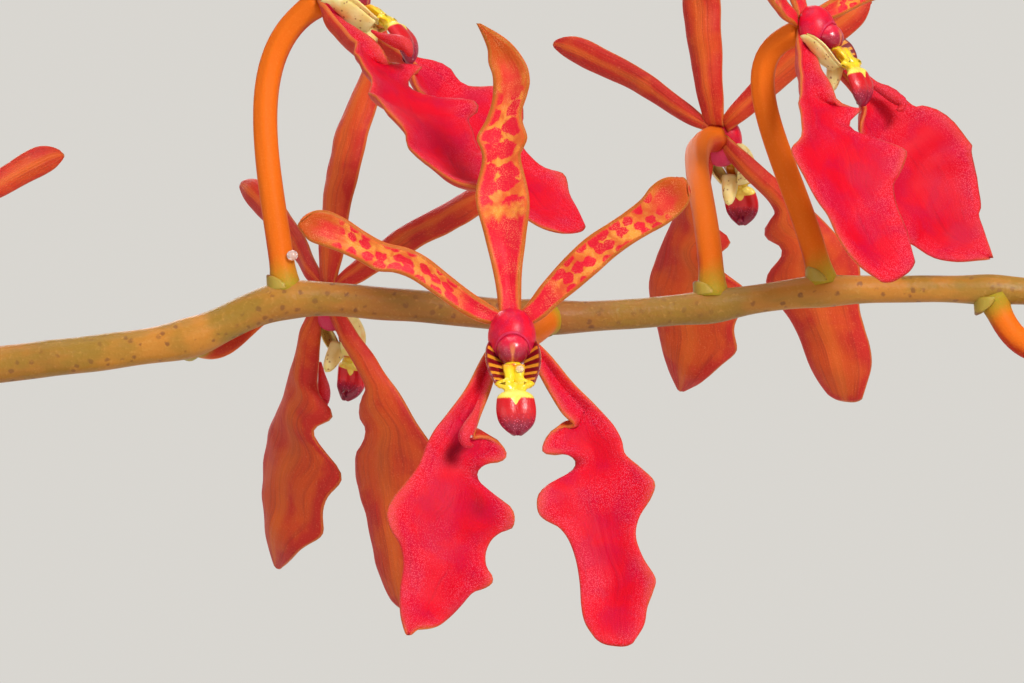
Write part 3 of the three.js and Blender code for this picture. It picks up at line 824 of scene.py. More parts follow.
@dataclass(frozen=True)
class ThroatFinish:
    """The lip's throat: lemon yellow with an orange groove."""

    lemon: str = "f2cc1e"
    orange: str = "dc7806"

    def material(self) -> Material:
        """Draws the material."""
        s = Sketch("lip throat")
        across, along = s.shares()
        fine = s.grain(s.place, 0.18)
        middle = s.distance(across, 0.5)
        groove = s.times(s.step(s.sum(middle, (fine, 0.04)), 0.24, 0.1), s.step(along, 0.82, 0.6))
        body = s.blend(groove, self.lemon, self.orange)
        crease = s.times(s.step(middle, 0.035, 0.012), s.step(along, 0.75, 0.6))
        body = s.blend(crease, body, "c85a04")
        body = s.tint(body, "f2a018", s.distance(along, 0.0), 0.2, 0.0)
        return s.finish(body, 0.3, s.relief((fine, 0.02)), Coat_Weight=0.35, Coat_Roughness=0.15, **FLESH)


@dataclass(frozen=True)
class FrontLobeFinish:
    """The lip's front lobe: a lemon band with a notch, then scarlet, then dark crimson at the tip, with pink
    specks painted as glints across its middle.
    """

    lemon: str = "f6dc5c"
    scarlet: str = "cc0214"
    crimson: str = "8c0430"

    def material(self) -> Material:
        """Draws the material."""
        s = Sketch("lip front lobe")
        across, along = s.shares()
        fine = s.grain(s.place, 0.14, 3.0)
        off = s.distance(across, 0.5)
        lower = s.sum(along, (fine, 0.03))
        line = s.sum(lower, (s.step(off, 0.0, 0.17), 0.12))
        body = s.blend(s.step(s.sum(along, (fine, 0.25)), 0.62, 0.85), self.scarlet, self.crimson)
        body = s.tint(body, self.lemon, line, 0.41, 0.38)
        band = s.step(s.distance(along, 0.68), 0.2, 0.04)
        # Pink specks painted as glints, in a band across the lobe's middle.
        painted_glints = s.times(s.step(s.cells(s.place, 0.13), 0.3, 0.12), band)
        body = s.blend(s.times(painted_glints, 0.8), body, "ff86a4")
        return s.finish(body, 0.34, s.relief((fine, 0.03)), Coat_Weight=0.2, Coat_Roughness=0.2, **FLESH)


@dataclass(frozen=True)
class StalkFinish:
    """The blooms' stalks: orange with a red flush along one side and green where they leave the axis."""

    orange: str = "de6a16"
    red: str = "b82c12"
    green: str = "a08c26"

    def material(self) -> Material:
        """Draws the material."""
        s = Sketch("stalk")
        across, along = s.shares()
        patch = s.grain(s.place, 2.4, 3.0)
        fine = s.grain(s.place, 0.14, 3.0)
        side = s.ripple(across, 1.0, s.times(along, 1.4))
        streak = s.grain(s.join(s.times(across, 8.0), s.times(along, 5.0)), 1.0, 3.0)
        flush = s.step(s.sum((side, 0.7), (patch, 0.3), (streak, 0.3)), 0.58, 0.95)
        body = s.blend(flush, self.orange, self.red)
        body = s.blend(s.step(s.sum(along, (patch, 0.12)), 0.2, 0.06), body, self.green)
        body = s.tint(body, "ec8438", fine, 0.5, 0.78, 0.3)
        relief = s.relief((streak, 0.07), (fine, 0.02))
        return s.finish(body, 0.5, relief, Specular_IOR_Level=0.08, **THIN_FLESH)


@dataclass(frozen=True)
class DropFinish:
    """Clear nectar, with a milky white share in its body that paints its glints."""

    def material(self) -> Material:
        """Draws the material."""
        s = Sketch("nectar")
        # The white body colour is painted highlight, standing in for the drop's white glints.
        body = s.blend(s.grain(s.place, 0.5), "fff4ec", "ffffff")
        return s.finish(body, 0.03, None, Transmission_Weight=0.7, IOR=1.36, Coat_Weight=0.5)


# Finishes of the plant

@dataclass(frozen=True)
class AxisFinish:
    """The flower axis: golden tan and olive, streaked and clouded with purple brown."""

    olive: str = "947024"
    tan: str = "bc7c2c"
    brown: str = "7c4428"
    purple: str = "5a2a26"

    def material(self) -> Material:
        """Draws the material."""
        s = Sketch("flower axis")
        across, along = s.shares()
        patch = s.grain(s.place, 8.0, 3.0, 0.8)
        cloud = s.grain(s.place, 26.0, 2.0, 0.4)
        fine = s.grain(s.place, 0.3, 4.0)
        streak = s.grain(s.join(s.times(across, 7.0), s.times(along, 40.0)), 1.0, 4.0)
        body = s.blend(s.step(s.sum((patch, 0.7), (streak, 0.3)), 0.4, 0.6), self.olive, self.tan)
        dusk = s.step(s.sum(cloud, (streak, 0.25), (fine, 0.15)), 0.68, 0.98)
        body = s.blend(s.times(dusk, 0.6), body, self.brown)
        freckle = s.step(s.sum(s.cells(s.place, 0.9), (fine, 0.5)), 0.54, 0.38)
        body = s.blend(s.times(freckle, s.step(patch, 0.3, 0.6, 0.15, 0.6)), body, self.purple)
        body = s.tint(body, "d09a4c", fine, 0.52, 0.8, 0.35)
        relief = s.relief((streak, 0.12), (fine, 0.05))
        return s.finish(body, 0.44, relief, Coat_Weight=0.05, Coat_Roughness=0.3, Specular_IOR_Level=0.25,
                        **THIN_FLESH)


@dataclass(frozen=True)
class BractFinish:
    """Small scales at the nodes: yellow green with a brown edge."""

    green: str = "a88e2c"
    brown: str = "84522a"

    def material(self) -> Material:
        """Draws the material."""
        s = Sketch("bract")
        _, along = s.shares()
        fine = s.grain(s.place, 0.25, 3.0)
        body = s.blend(s.step(s.sum(along, (fine, 0.3)), 0.9, 1.15), self.green, self.brown)
        return s.finish(body, 0.5, s.relief((fine, 0.03)), **FLESH)


@dataclass(frozen=True)
class BudFinish:
    """Buds: green at the foot, orange to brick red above, with three seams."""

    def material(self) -> Material:
        """Draws the material."""
        s = Sketch("bud")
        across, along = s.shares()
        fine = s.grain(s.place, 0.15, 3.0)
        patch = s.grain(s.place, 1.8)
        stops = [(0.1, "a8a03c"), (0.5, "d77c34"), (0.75, "c8402a"), (1.0, "b02a26")]
        body = s.ramp(s.sum(along, (patch, 0.2)), stops)
        seam = s.step(s.ripple(across, 3.0), 0.06, 0.0)
        body = s.blend(s.times(seam, 0.5), body, "8c2a18")
        body = s.tint(body, "f0a070", fine, 0.55, 0.8, 0.3)
        return s.finish(body, 0.45, s.relief((fine, 0.03)), **FLESH)


@dataclass(frozen=True)
class LeafFinish:
    """Leathery strap leaves: mid green with fine lengthwise veins, a paler midrib and a waxy gloss."""

    green: str = "4c7a26"
    deep: str = "2f5a1a"
    pale: str = "8ea84a"

    def material(self) -> Material:
        """Draws the material."""
        s = Sketch("leaf")
        rim = s.carried("rim")
        across, along = s.shares()
        patch = s.grain(s.place, 14.0, 3.0, 0.6)
        fine = s.grain(s.place, 0.5, 4.0)
        veins = s.ripple(across, 24.0, s.times(patch, 2.0))
        body = s.blend(s.step(patch, 0.35, 0.68), self.green, self.deep)
        body = s.blend(s.times(veins, 0.14), body, "6f9a3a")
        body = s.tint(body, self.pale, s.distance(across, 0.5), 0.05, 0.0, 0.55)
        body = s.tint(body, "a8a552", rim, 0.7, 0.15, 0.6)
        body = s.blend(s.times(s.step(along, 0.93, 1.0), s.step(fine, 0.35, 0.6)), body, "9a7a3a")
        body = s.tint(body, "7d8a48", s.cells(s.place, 6.0), 0.14, 0.06, 0.5)
        relief = s.relief((veins, 0.03), (fine, 0.05))
        rough = s.step(patch, 0.3, 0.7, 0.34, 0.48)
        return s.finish(body, rough, relief, Coat_Weight=0.15, Coat_Roughness=0.3,
                        Subsurface_Weight=0.08, Subsurface_Radius=(0.4, 1.0, 0.15), Subsurface_Scale=0.0008)


@dataclass(frozen=True)
class SheathFinish:
    """Leaf sheaths round the stem: green with dry straw edges and spots."""

    def material(self) -> Material:
        """Draws the material."""
        s = Sketch("stem sheath")
        across, along = s.shares()
        age = s.carried("tone")
        patch = s.grain(s.place, 9.0, 3.0, 0.5)
        fine = s.grain(s.place, 0.5, 4.0)
        ribs = s.ripple(across, 22.0)
        body = s.blend(s.step(patch, 0.35, 0.7), "5b7f30", "7a8f3e")
        body = s.blend(s.times(ribs, 0.25), body, "49661f")
        body = s.blend(s.step(s.sum(age, (patch, 0.6)), 0.75, 1.1), body, "8a7446")
        body = s.blend(s.times(s.step(s.cells(s.place, 2.4), 0.22, 0.1), 0.45), body, "5a4028")
        relief = s.relief((ribs, 0.12), (fine, 0.08))
        return s.finish(body, 0.55, relief)


@dataclass(frozen=True)
class RootFinish:
    """Aerial roots: silvery velamen, mottled green, brown where old."""

    def material(self) -> Material:
        """Draws the material."""
        s = Sketch("aerial root")
        _, along = s.shares()
        patch = s.grain(s.place, 4.0, 4.0, 0.8)
        fine = s.grain(s.place, 0.6, 4.0)
        body = s.blend(s.step(patch, 0.4, 0.66), "b9bca6", "98a07c")
        body = s.blend(s.step(s.sum(patch, (fine, 0.3)), 0.72, 0.9), body, "8b7350")
        body = s.tint(body, "dcdcd0", fine, 0.52, 0.7, 0.4)
        body = s.tint(body, "7f9440", along, 0.93, 0.99)
        relief = s.relief((patch, 0.35), (fine, 0.15))
        return s.finish(body, 0.82, relief)


@dataclass(frozen=True)
class BarkFinish:
    """Fir bark: each chip its own brown, with darker layers and pale broken fibres."""

    def material(self) -> Material:
        """Draws the material."""
        s = Sketch("bark chips")
        tone = s.carried("tone")
        patch = s.grain(s.place, 5.0, 4.0, 0.6)
        fine = s.grain(s.place, 0.9, 5.0, 0.4)
        body = s.ramp(tone, [(0.0, "3a2418"), (0.35, "5c3a24"), (0.7, "7a4c2c"), (1.0, "94694a")])
        body = s.tint(body, "2e1c13", patch, 0.45, 0.7, 0.7)
        body = s.tint(body, "b08a62", fine, 0.56, 0.74, 0.6)
        relief = s.relief((patch, 0.9), (fine, 0.5))
        return s.finish(body, 0.9, relief)


@dataclass(frozen=True)
class ClayFinish:
    """Fired clay: warm terracotta with turning lines, sandy grain and a chalky bloom."""

    clay: str = "b8623e"
    light: str = "cb8058"
    chalk: str = "d9c4ae"

    def material(self) -> Material:
        """Draws the material."""
        s = Sketch("fired clay")
        split = s.add("ShaderNodeSeparateXYZ", {0: s.place})
        height = split.outputs["Z"]
        patch = s.grain(s.place, 26.0, 4.0, 0.7)
        sand = s.grain(s.place, 0.7, 4.0)
        lines = s.grain(s.join(0.0, 0.0, height), 1.3, 3.0)
        body = s.blend(s.step(patch, 0.35, 0.68), self.clay, self.light)
        body = s.tint(body, "a04f30", lines, 0.4, 0.7, 0.25)
        chalky = s.step(s.sum(s.grain(s.place, 11.0, 5.0, 1.0), (s.step(height, 34.0, 2.0), 0.16)), 0.6, 0.8)
        body = s.blend(s.times(chalky, 0.7), body, self.chalk)
        body = s.tint(body, "8a4228", sand, 0.6, 0.78, 0.4)
        relief = s.relief((lines, 0.18), (sand, 0.16))
        return s.finish(body, 0.88, relief)


# The bloom

class Look(Enum):
    """The material numbers on a bloom's tepals."""

    SEPAL = 0
    UPRIGHT = 1
    PETAL = 2
    BACK = 3


@dataclass(frozen=True)
class Tepal:
    """One blade of the bloom.

    Each margin is a list of points: x to the viewer's right, height, and how far it rolls towards the
    viewer. depth is how far behind the tepals' joint the blade's middle runs, at even shares along it.
    curl is the middle and radius of a margin that has rolled up on itself. dents are spots of painted shade,
    standing in for the shadow in hollows that the blade's shape does not have, each given by its shares
    across and along and its reach as a share of the length.
    """

    left: Points
    right: Points
    depth: tuple[float, ...]
    channel: float
    look: Look
    thickness: float = 0.62
    blunt: float = 0.38
    curl: tuple[tuple[Point, float], ...] = ()
    dents: tuple[tuple[float, float, float], ...] = ()
    shade_spot_width: float = 2.6

    def grid(self, us: Shares, vs: Shares, ruffle: float, seed: int) -> Grid:
        """The blade's middle surface.

        Args:
            us: Shares across.
            vs: Shares along.
            ruffle: 1 keeps the margins' full lobes, 0 eases them.
            seed: Sets the small differences between blooms.

        Returns:
            The points, row by row.
        """
        left, right = self._margins(vs, ruffle)
        depth = Track(tuple((d, 0.0, 0.0) for d in self.depth))
        rows = []
        for v, a, b in zip(vs, left, right):
            back = depth.at(v).x
            taper = smooth(0.0, 0.15, v) * smooth(1.0, 0.85, v)
            row = []
            for u in us:
                x, z = mix(a.x, b.x, u), mix(a.y, b.y, u)
                roll = self._lean(a, b, u)
                bowl = self.channel * 4.0 * u * (1.0 - u) * taper
                ripple = 0.22 * taper * noise.noise(Vector((x * 0.55, z * 0.55, seed * 7.3)))
                row.append(Vector((x, back - roll + bowl + ripple, z)))
            rows.append(row)
        return self._rounded(rows, us, vs)

    def _rounded(self, rows: Grid, us: Shares, vs: Shares) -> Grid:
        """Rounds the tip's corners.

        Args:
            rows: The blade's rows.
            us: Shares across.
            vs: Shares along.

        Returns:
            The rows with the tip's corners drawn back.
        """
        span = (rows[-1][-1] - rows[-1][0]).length
        middle = len(us) // 2
        back = (rows[len(rows) * 3 // 4][middle] - rows[-1][middle]).normalized()
        return [[p + back * (self.blunt * smooth(0.75, 1.0, v) * abs(2.0 * u - 1.0) ** 3 * span)
                 for p, u in zip(row, us)] for row, v in zip(rows, vs)]

    def rolls(self, us: Shares, vs: Shares, ruffle: float) -> list[list[float]]:
        """How far each point leans to the viewer with its margins, less the spots of painted shade.

        Args:
            us: Shares across.
            vs: Shares along.
            ruffle: 1 keeps the margins' full lobes, 0 eases them.

        Returns:
            The leans, most at the lobes and below 0 in a spot of painted shade.
        """
        left, right = self._margins(vs, ruffle)
        # How much of the spots of painted shade go into the tone: only fully ruffled blooms get them.
        shade_share = smooth(0.8, 1.0, ruffle)
        return [[self._lean(a, b, u) - self._shade_spot(u, v) * shade_share for u in us]
                for v, a, b in zip(vs, left, right)]

    def _margins(self, vs: Shares, ruffle: float) -> list[list[Vector]]:
        """The points of both margins at the shares along, with their lobes eased by the ruffle."""
        return [Track(self._eased(margin, ruffle)).paced(vs) for margin in (self.left, self.right)]

    @staticmethod
    def _lean(a: Vector, b: Vector, u: float) -> float:
        """How far a point at a share across leans with the margins a and b."""
        return a.z * (1.0 - u) ** LEAN_POWER + b.z * u ** LEAN_POWER

    def _shade_spot(self, u: float, v: float) -> float:
        """How deep a point lies in a spot of painted shade, from 0 to 1."""
        spots = (((u - across) / (self.shade_spot_width * reach)) ** 2 + ((v - along) / reach) ** 2
                 for across, along, reach in self.dents)
        return max((exp(-far) for far in spots), default=0.0)

    def roll_up(self, form: Form) -> None:
        """Adds the rolled margin, if the blade has one.

        Args:
            form: The form that takes it.
        """
        if not self.curl:
            return
        line = Track(tuple(point for point, _ in self.curl)).evenly(24)
        radii = Track(tuple((radius, 0.0, 0.0) for _, radius in self.curl))
        rolled = form.tube(line, lambda v, _: radii.at(v).x * sqrt(max(0.0, 1.0 - v ** 8)), 14,
                           self.look.value)
        for vert in rolled:
            vert[form.rim] = 0.5
            vert[form.tone] = 0.9

    @staticmethod
    def _eased(margin: Points, ruffle: float) -> Points:
        """The margin with its lobes eased towards the run of their neighbours.

        Args:
            margin: The margin's points.
            ruffle: 1 keeps the full lobes, 0 eases them.

        Returns:
            The eased points.
        """
        points = [Vector(p) for p in margin]
        for _ in range(3):
            points = [points[0], *[p.lerp((a + b) / 2.0, (1.0 - ruffle) * 0.7)
                                   for a, p, b in zip(points, points[1:], points[2:])], points[-1]]
        return tuple(tuple(p) for p in points)


UPRIGHT_SEPAL = Tepal(
    left=((-0.9, 0.9, 0), (-1.1, 3.6, 0.1), (-1.9, 6.9, 0.2), (-2.55, 9.6, 0.3), (-2.1, 12, 0),
          (-2.15, 12.9, 0.2), (-2.45, 13.8, 0.3), (-1.8, 15, 0.1), (-1.35, 16.4, 0.2), (-1.3, 18, 0.5),
          (-1.6, 19, 0.4), (-1.65, 19.9, 0.2), (-2, 20.8, 0.1), (-2.5, 21.7, 0)),
    right=((0.7, 0.9, 0), (0.6, 3.9, 0.1), (0.95, 6.8, 0.2), (1.2, 9.5, 0.4), (0.6, 12.3, 0.1),
           (0.75, 13, 0.3), (1.05, 13.8, 0.6), (0.75, 14.8, 0.3), (0.65, 15.6, 0.1), (1.05, 16.9, 0.4),
           (1.2, 17.8, 0.6), (0.9, 19, 0.3), (-0.2, 20.4, 0), (-2.2, 21.7, 0)),
    depth=(0.3, 0.5, 0.8, 0.9, 0.9, 0.7, 0.4, -0.2, -1.2),
    channel=0.55,
    look=Look.UPRIGHT,
    blunt=0.0,
)
LEFT_PETAL = Tepal(
    left=((-0.5, 0.5, 0), (-2.2, 0.9, 0.1), (-3.6, 1.6, 0.1), (-5.2, 2.7, 0.1), (-6.9, 3.85, 0.1),
          (-8.2, 4.35, 0.1), (-9.4, 4.45, 0.1), (-10.6, 5.1, 0.1), (-12, 5.75, 0.15), (-13.3, 6.2, 0.2),
          (-14.3, 6.6, 0.2), (-14.95, 7.4, 0.1)),
    right=((-0.4, 1.4, 0), (-1.5, 2, 0.1), (-2.8, 2.85, 0.1), (-4.4, 4.1, 0.1), (-5.9, 5.3, 0.1),
           (-7.2, 5.95, 0.1), (-8.8, 6.35, 0.15), (-10.3, 7.15, 0.2), (-11.5, 7.95, 0.2), (-12.8, 8.55, 0.2),
           (-13.9, 8.6, 0.2), (-14.8, 7.9, 0.1)),
    depth=(0.3, 0, -0.5, -0.9, -1.3, -1.7, -2.1, -2.4, -2.7),
    channel=0.35,
    look=Look.PETAL,
)
RIGHT_PETAL = Tepal(
    left=((0.4, 1.5, 0), (1.3, 2.4, 0.1), (2.2, 3.6, 0.1), (3.4, 5, 0.1), (4.6, 6.2, 0.1), (5.6, 7, 0.1),
          (6.7, 7.7, 0.1), (7.9, 8.5, 0.1), (9, 9.4, 0.15), (9.8, 10.4, 0.2), (10.8, 11.05, 0.2),
          (11.8, 11.1, 0.1)),
    right=((1, 0.5, 0), (2.1, 1.1, 0.1), (3.2, 2.1, 0.1), (4.6, 3.2, 0.1), (5.9, 4.3, 0.1), (7, 5.3, 0.1),
           (8.2, 6.2, 0.1), (9.5, 7, 0.15), (10.8, 7.7, 0.2), (11.9, 8.6, 0.2), (12.5, 9.5, 0.2),
           (12.35, 10.5, 0.1)),
    depth=(0.3, 0, -0.4, -0.8, -1.1, -1.5, -1.8, -2.2, -2.5),
    channel=0.35,
    look=Look.PETAL,
)
LEFT_SEPAL = Tepal(
    left=((-0.9, 0.3, 0), (-2.1, -1.8, 0.1), (-3.1, -3.7, 0.1), (-4.3, -5.3, 0.1), (-5.3, -6.5, 0.1),
          (-5.9, -7.6, 0), (-6.5, -9.1, 0), (-7.5, -10.4, 0.3), (-8.1, -11.1, 0.3), (-8.65, -12.2, 0.7),
          (-8.4, -13.4, 0.5), (-7.7, -14.6, 0), (-7.5, -16, -0.2), (-7.7, -17.5, -0.1), (-7.65, -19.2, 0.1),
          (-7.2, -20.6, 0.3)),
    right=((-0.1, -0.9, 0.3), (-1.1, -2.5, 0.6), (-1.7, -4.2, 0.9), (-2.35, -5.9, 1), (-2.64, -7.2, 0.7),
           (-1.97, -7.15, 0.4), (-1.15, -7.38, 0.5), (-0.57, -7.87, 0.8), (-0.36, -8.4, 0.9),
           (-0.75, -8.8, 0.6), (-1.6, -8.95, 0.1), (-2.2, -9.3, -0.5), (-2.4, -9.8, -0.7),
           (-2.1, -10.4, -0.5), (-1.4, -10.95, 0), (-0.6, -11.5, 0.5), (0, -12, 0.8), (0.2, -12.7, 0.9),
           (0, -13.4, 0.5), (-0.7, -13.65, 0.1), (-1.4, -14.2, -0.2), (-1.8, -15.1, -0.3), (-1.75, -16, 0),
           (-1.35, -16.6, 0.5), (-1.35, -17.1, 0.6), (-1.9, -17.5, 0.3), (-2.7, -17.8, 0),
           (-3.5, -18.7, -0.4), (-4.2, -19.4, -0.5), (-5, -19.95, -0.1), (-5.8, -20.1, 0.2),
           (-6.4, -20.15, 0.1), (-7, -20.6, 0.3)),
    depth=(0.4, -0.7, -2, -3.2, -4.2, -5, -5.7, -6.5, -7.9),
    channel=0.7,
    look=Look.SEPAL,
    blunt=0.0,
    curl=(((-2.3, -2.9, -4.6), 0.1), ((-2.5, -3.5, -5.4), 0.22), ((-2.8, -4.2, -6.1), 0.34),
          ((-3.1, -4.8, -6.7), 0.46), ((-3.3, -5.2, -7.15), 0.5), ((-3.1, -5.1, -7.6), 0.4),
          ((-2.6, -4.9, -7.7), 0.25)),
    # Spots of painted shade for the shadows under the rolled margin and under the lower lobe; the blade is
    # not hollowed there.
    dents=((0.45, 0.4, 0.06), (0.7, 0.55, 0.055)),
)
RIGHT_SEPAL = Tepal(
    left=((0.1, -0.9, 0.3), (1.6, -2.2, 0.6), (2.6, -3.9, 1), (3.5, -5.4, 1.2), (4.3, -6.2, 0.9),
          (4, -6.5, 0.3), (3.3, -6.5, 0.2), (2.6, -6.9, 0.5), (2.2, -7.5, 0.8), (2.1, -8.1, 0.9),
          (2.6, -8.3, 0.6), (3.5, -8.3, 0), (4.1, -8.5, -0.5), (4.4, -8.9, -0.8), (4.2, -9.4, -0.7),
          (3.5, -9.9, -0.4), (2.6, -10.3, 0.1), (1.9, -10.9, 0.6), (1.7, -11.6, 0.9), (1.85, -12.4, 0.8),
          (2.4, -12.9, 0.3), (3.2, -13.3, 0), (3.9, -14.2, -0.2), (4.4, -15.6, -0.2), (4.65, -17.2, -0.2),
          (4.75, -18.9, -0.1), (5, -20.1, 0.1), (5.7, -21.2, 0.2)),
    right=((0.9, 0.3, 0), (2.6, -1.5, 0.1), (4.1, -3.3, 0.1), (5.5, -4.7, 0.1), (6.9, -6.1, 0.1),
           (7.6, -7.3, 0), (7.85, -8.3, 0.1), (8.9, -9.2, 0.4), (9.85, -10.2, 0.7), (9.6, -11.3, 0.4),
           (8.8, -12.6, 0), (8.55, -13.9, -0.2), (9, -15.3, 0.1), (9.85, -16.8, 0.6), (9.7, -17.8, 0.5),
           (9.3, -19, 0.2), (9.05, -20.3, 0.1), (8.3, -21.5, 0.2)),
    depth=(0.4, -0.7, -2, -3.3, -4.3, -5, -5.8, -6.7, -7.9),
    channel=0.7,
    look=Look.SEPAL,
    blunt=0.16,
)
TEPALS = (UPRIGHT_SEPAL, LEFT_PETAL, RIGHT_PETAL, LEFT_SEPAL, RIGHT_SEPAL)
TO_VIEWER = Vector((0.0, -1.0, 0.0))


@dataclass(frozen=True)
class Column:
    """The column: an egg-shaped hood with a round cap set in its front and a thin rim round the cap."""

    hood_middle: Point = (0.0, -0.6, -0.2)
    hood_size: Point = (1.69, 1.7, 2.05)
    back_share: float = 0.6
    cap_middle: Point = (0.05, -1.82, -1.06)
    cap_radius: float = 1.12
    rim_radius: float = 1.17
    beak_middle: Point = (0.08, -2.3, -2.12)
    beak_size: Point = (0.6, 0.5, 0.24)

    def build(self, fine: bool) -> Form:
        """Makes the hood, its rim, the cap and the pale beak under it.

        Args:
            fine: Whether the bloom is seen close.

        Returns:
            The form.
        """
        form = Form()
        sides = 44 if fine else 20
        hood = self._ball(form, self.hood_middle, self.hood_size, sides, 0)
        for vert in hood:
            vert[form.tone] = smooth(0.4, -1.8, vert.co.z)
            vert.co.y -= (1.0 - self.back_share) * max(0.0, vert.co.y - self.hood_middle[1])
        size = (self.cap_radius, self.cap_radius * 0.97, self.cap_radius)
        cap = self._ball(form, self.cap_middle, size, sides, 1)
        for vert in cap:
            away = vert.co - Vector(self.cap_middle)
            groove = exp(-(away.x / 0.13) ** 2) * smooth(0.5, -0.6, away.z)
            vert.co -= away * 0.09 * groove
        self._rim(form, sides)
        self._ball(form, self.beak_middle, self.beak_size, sides // 2, 2)
        return form

    def _ball(self, form: Form, middle: Point, size: Point, sides: int, finish: int) -> Verts:
        """Adds an egg-shaped ball, mapped as the viewer sees it.

        Args:
            form: The form that takes it.
            middle: Its middle.
            size: Its half lengths.
            sides: How many sides round it.
            finish: The number of its material.

        Returns:
            The new vertices.
        """
        made = bmesh.ops.create_uvsphere(form.bm, u_segments=sides, v_segments=sides // 2,
                                         radius=1.0)["verts"]
        bmesh.ops.scale(form.bm, vec=size, verts=made)
        bmesh.ops.translate(form.bm, vec=middle, verts=made)
        for face in {face for vert in made for face in vert.link_faces}:
            face.material_index = finish
            face.smooth = True
            for loop in face.loops:
                away = loop.vert.co - Vector(middle)
                loop[form.map].uv = (0.5 + 0.5 * away.x / size[0], 0.5 + 0.5 * away.z / size[2])
        return made

    def _rim(self, form: Form, sides: int) -> None:
        """Adds the hood's thin raised rim, open below the cap.

        Args:
            form: The form that takes it.
            sides: How many steps round it.
        """
        line = []
        for i in range(sides + 1):
            turn = mix(radians(-52), radians(232), i / sides)
            x = self.cap_middle[0] + cos(turn) * self.rim_radius
            z = self.cap_middle[2] + sin(turn) * self.rim_radius
            share = (x / self.hood_size[0]) ** 2 + ((z - self.hood_middle[2]) / self.hood_size[2]) ** 2
            y = self.hood_middle[1] - self.hood_size[1] * sqrt(max(0.0, 1.0 - share))
            line.append(Vector((x, y, z)))
        for vert in form.tube(line, lambda v, _: 0.1 * sqrt(max(0.0, sin(pi * v))), 10):
            vert[form.tone] = 0.7


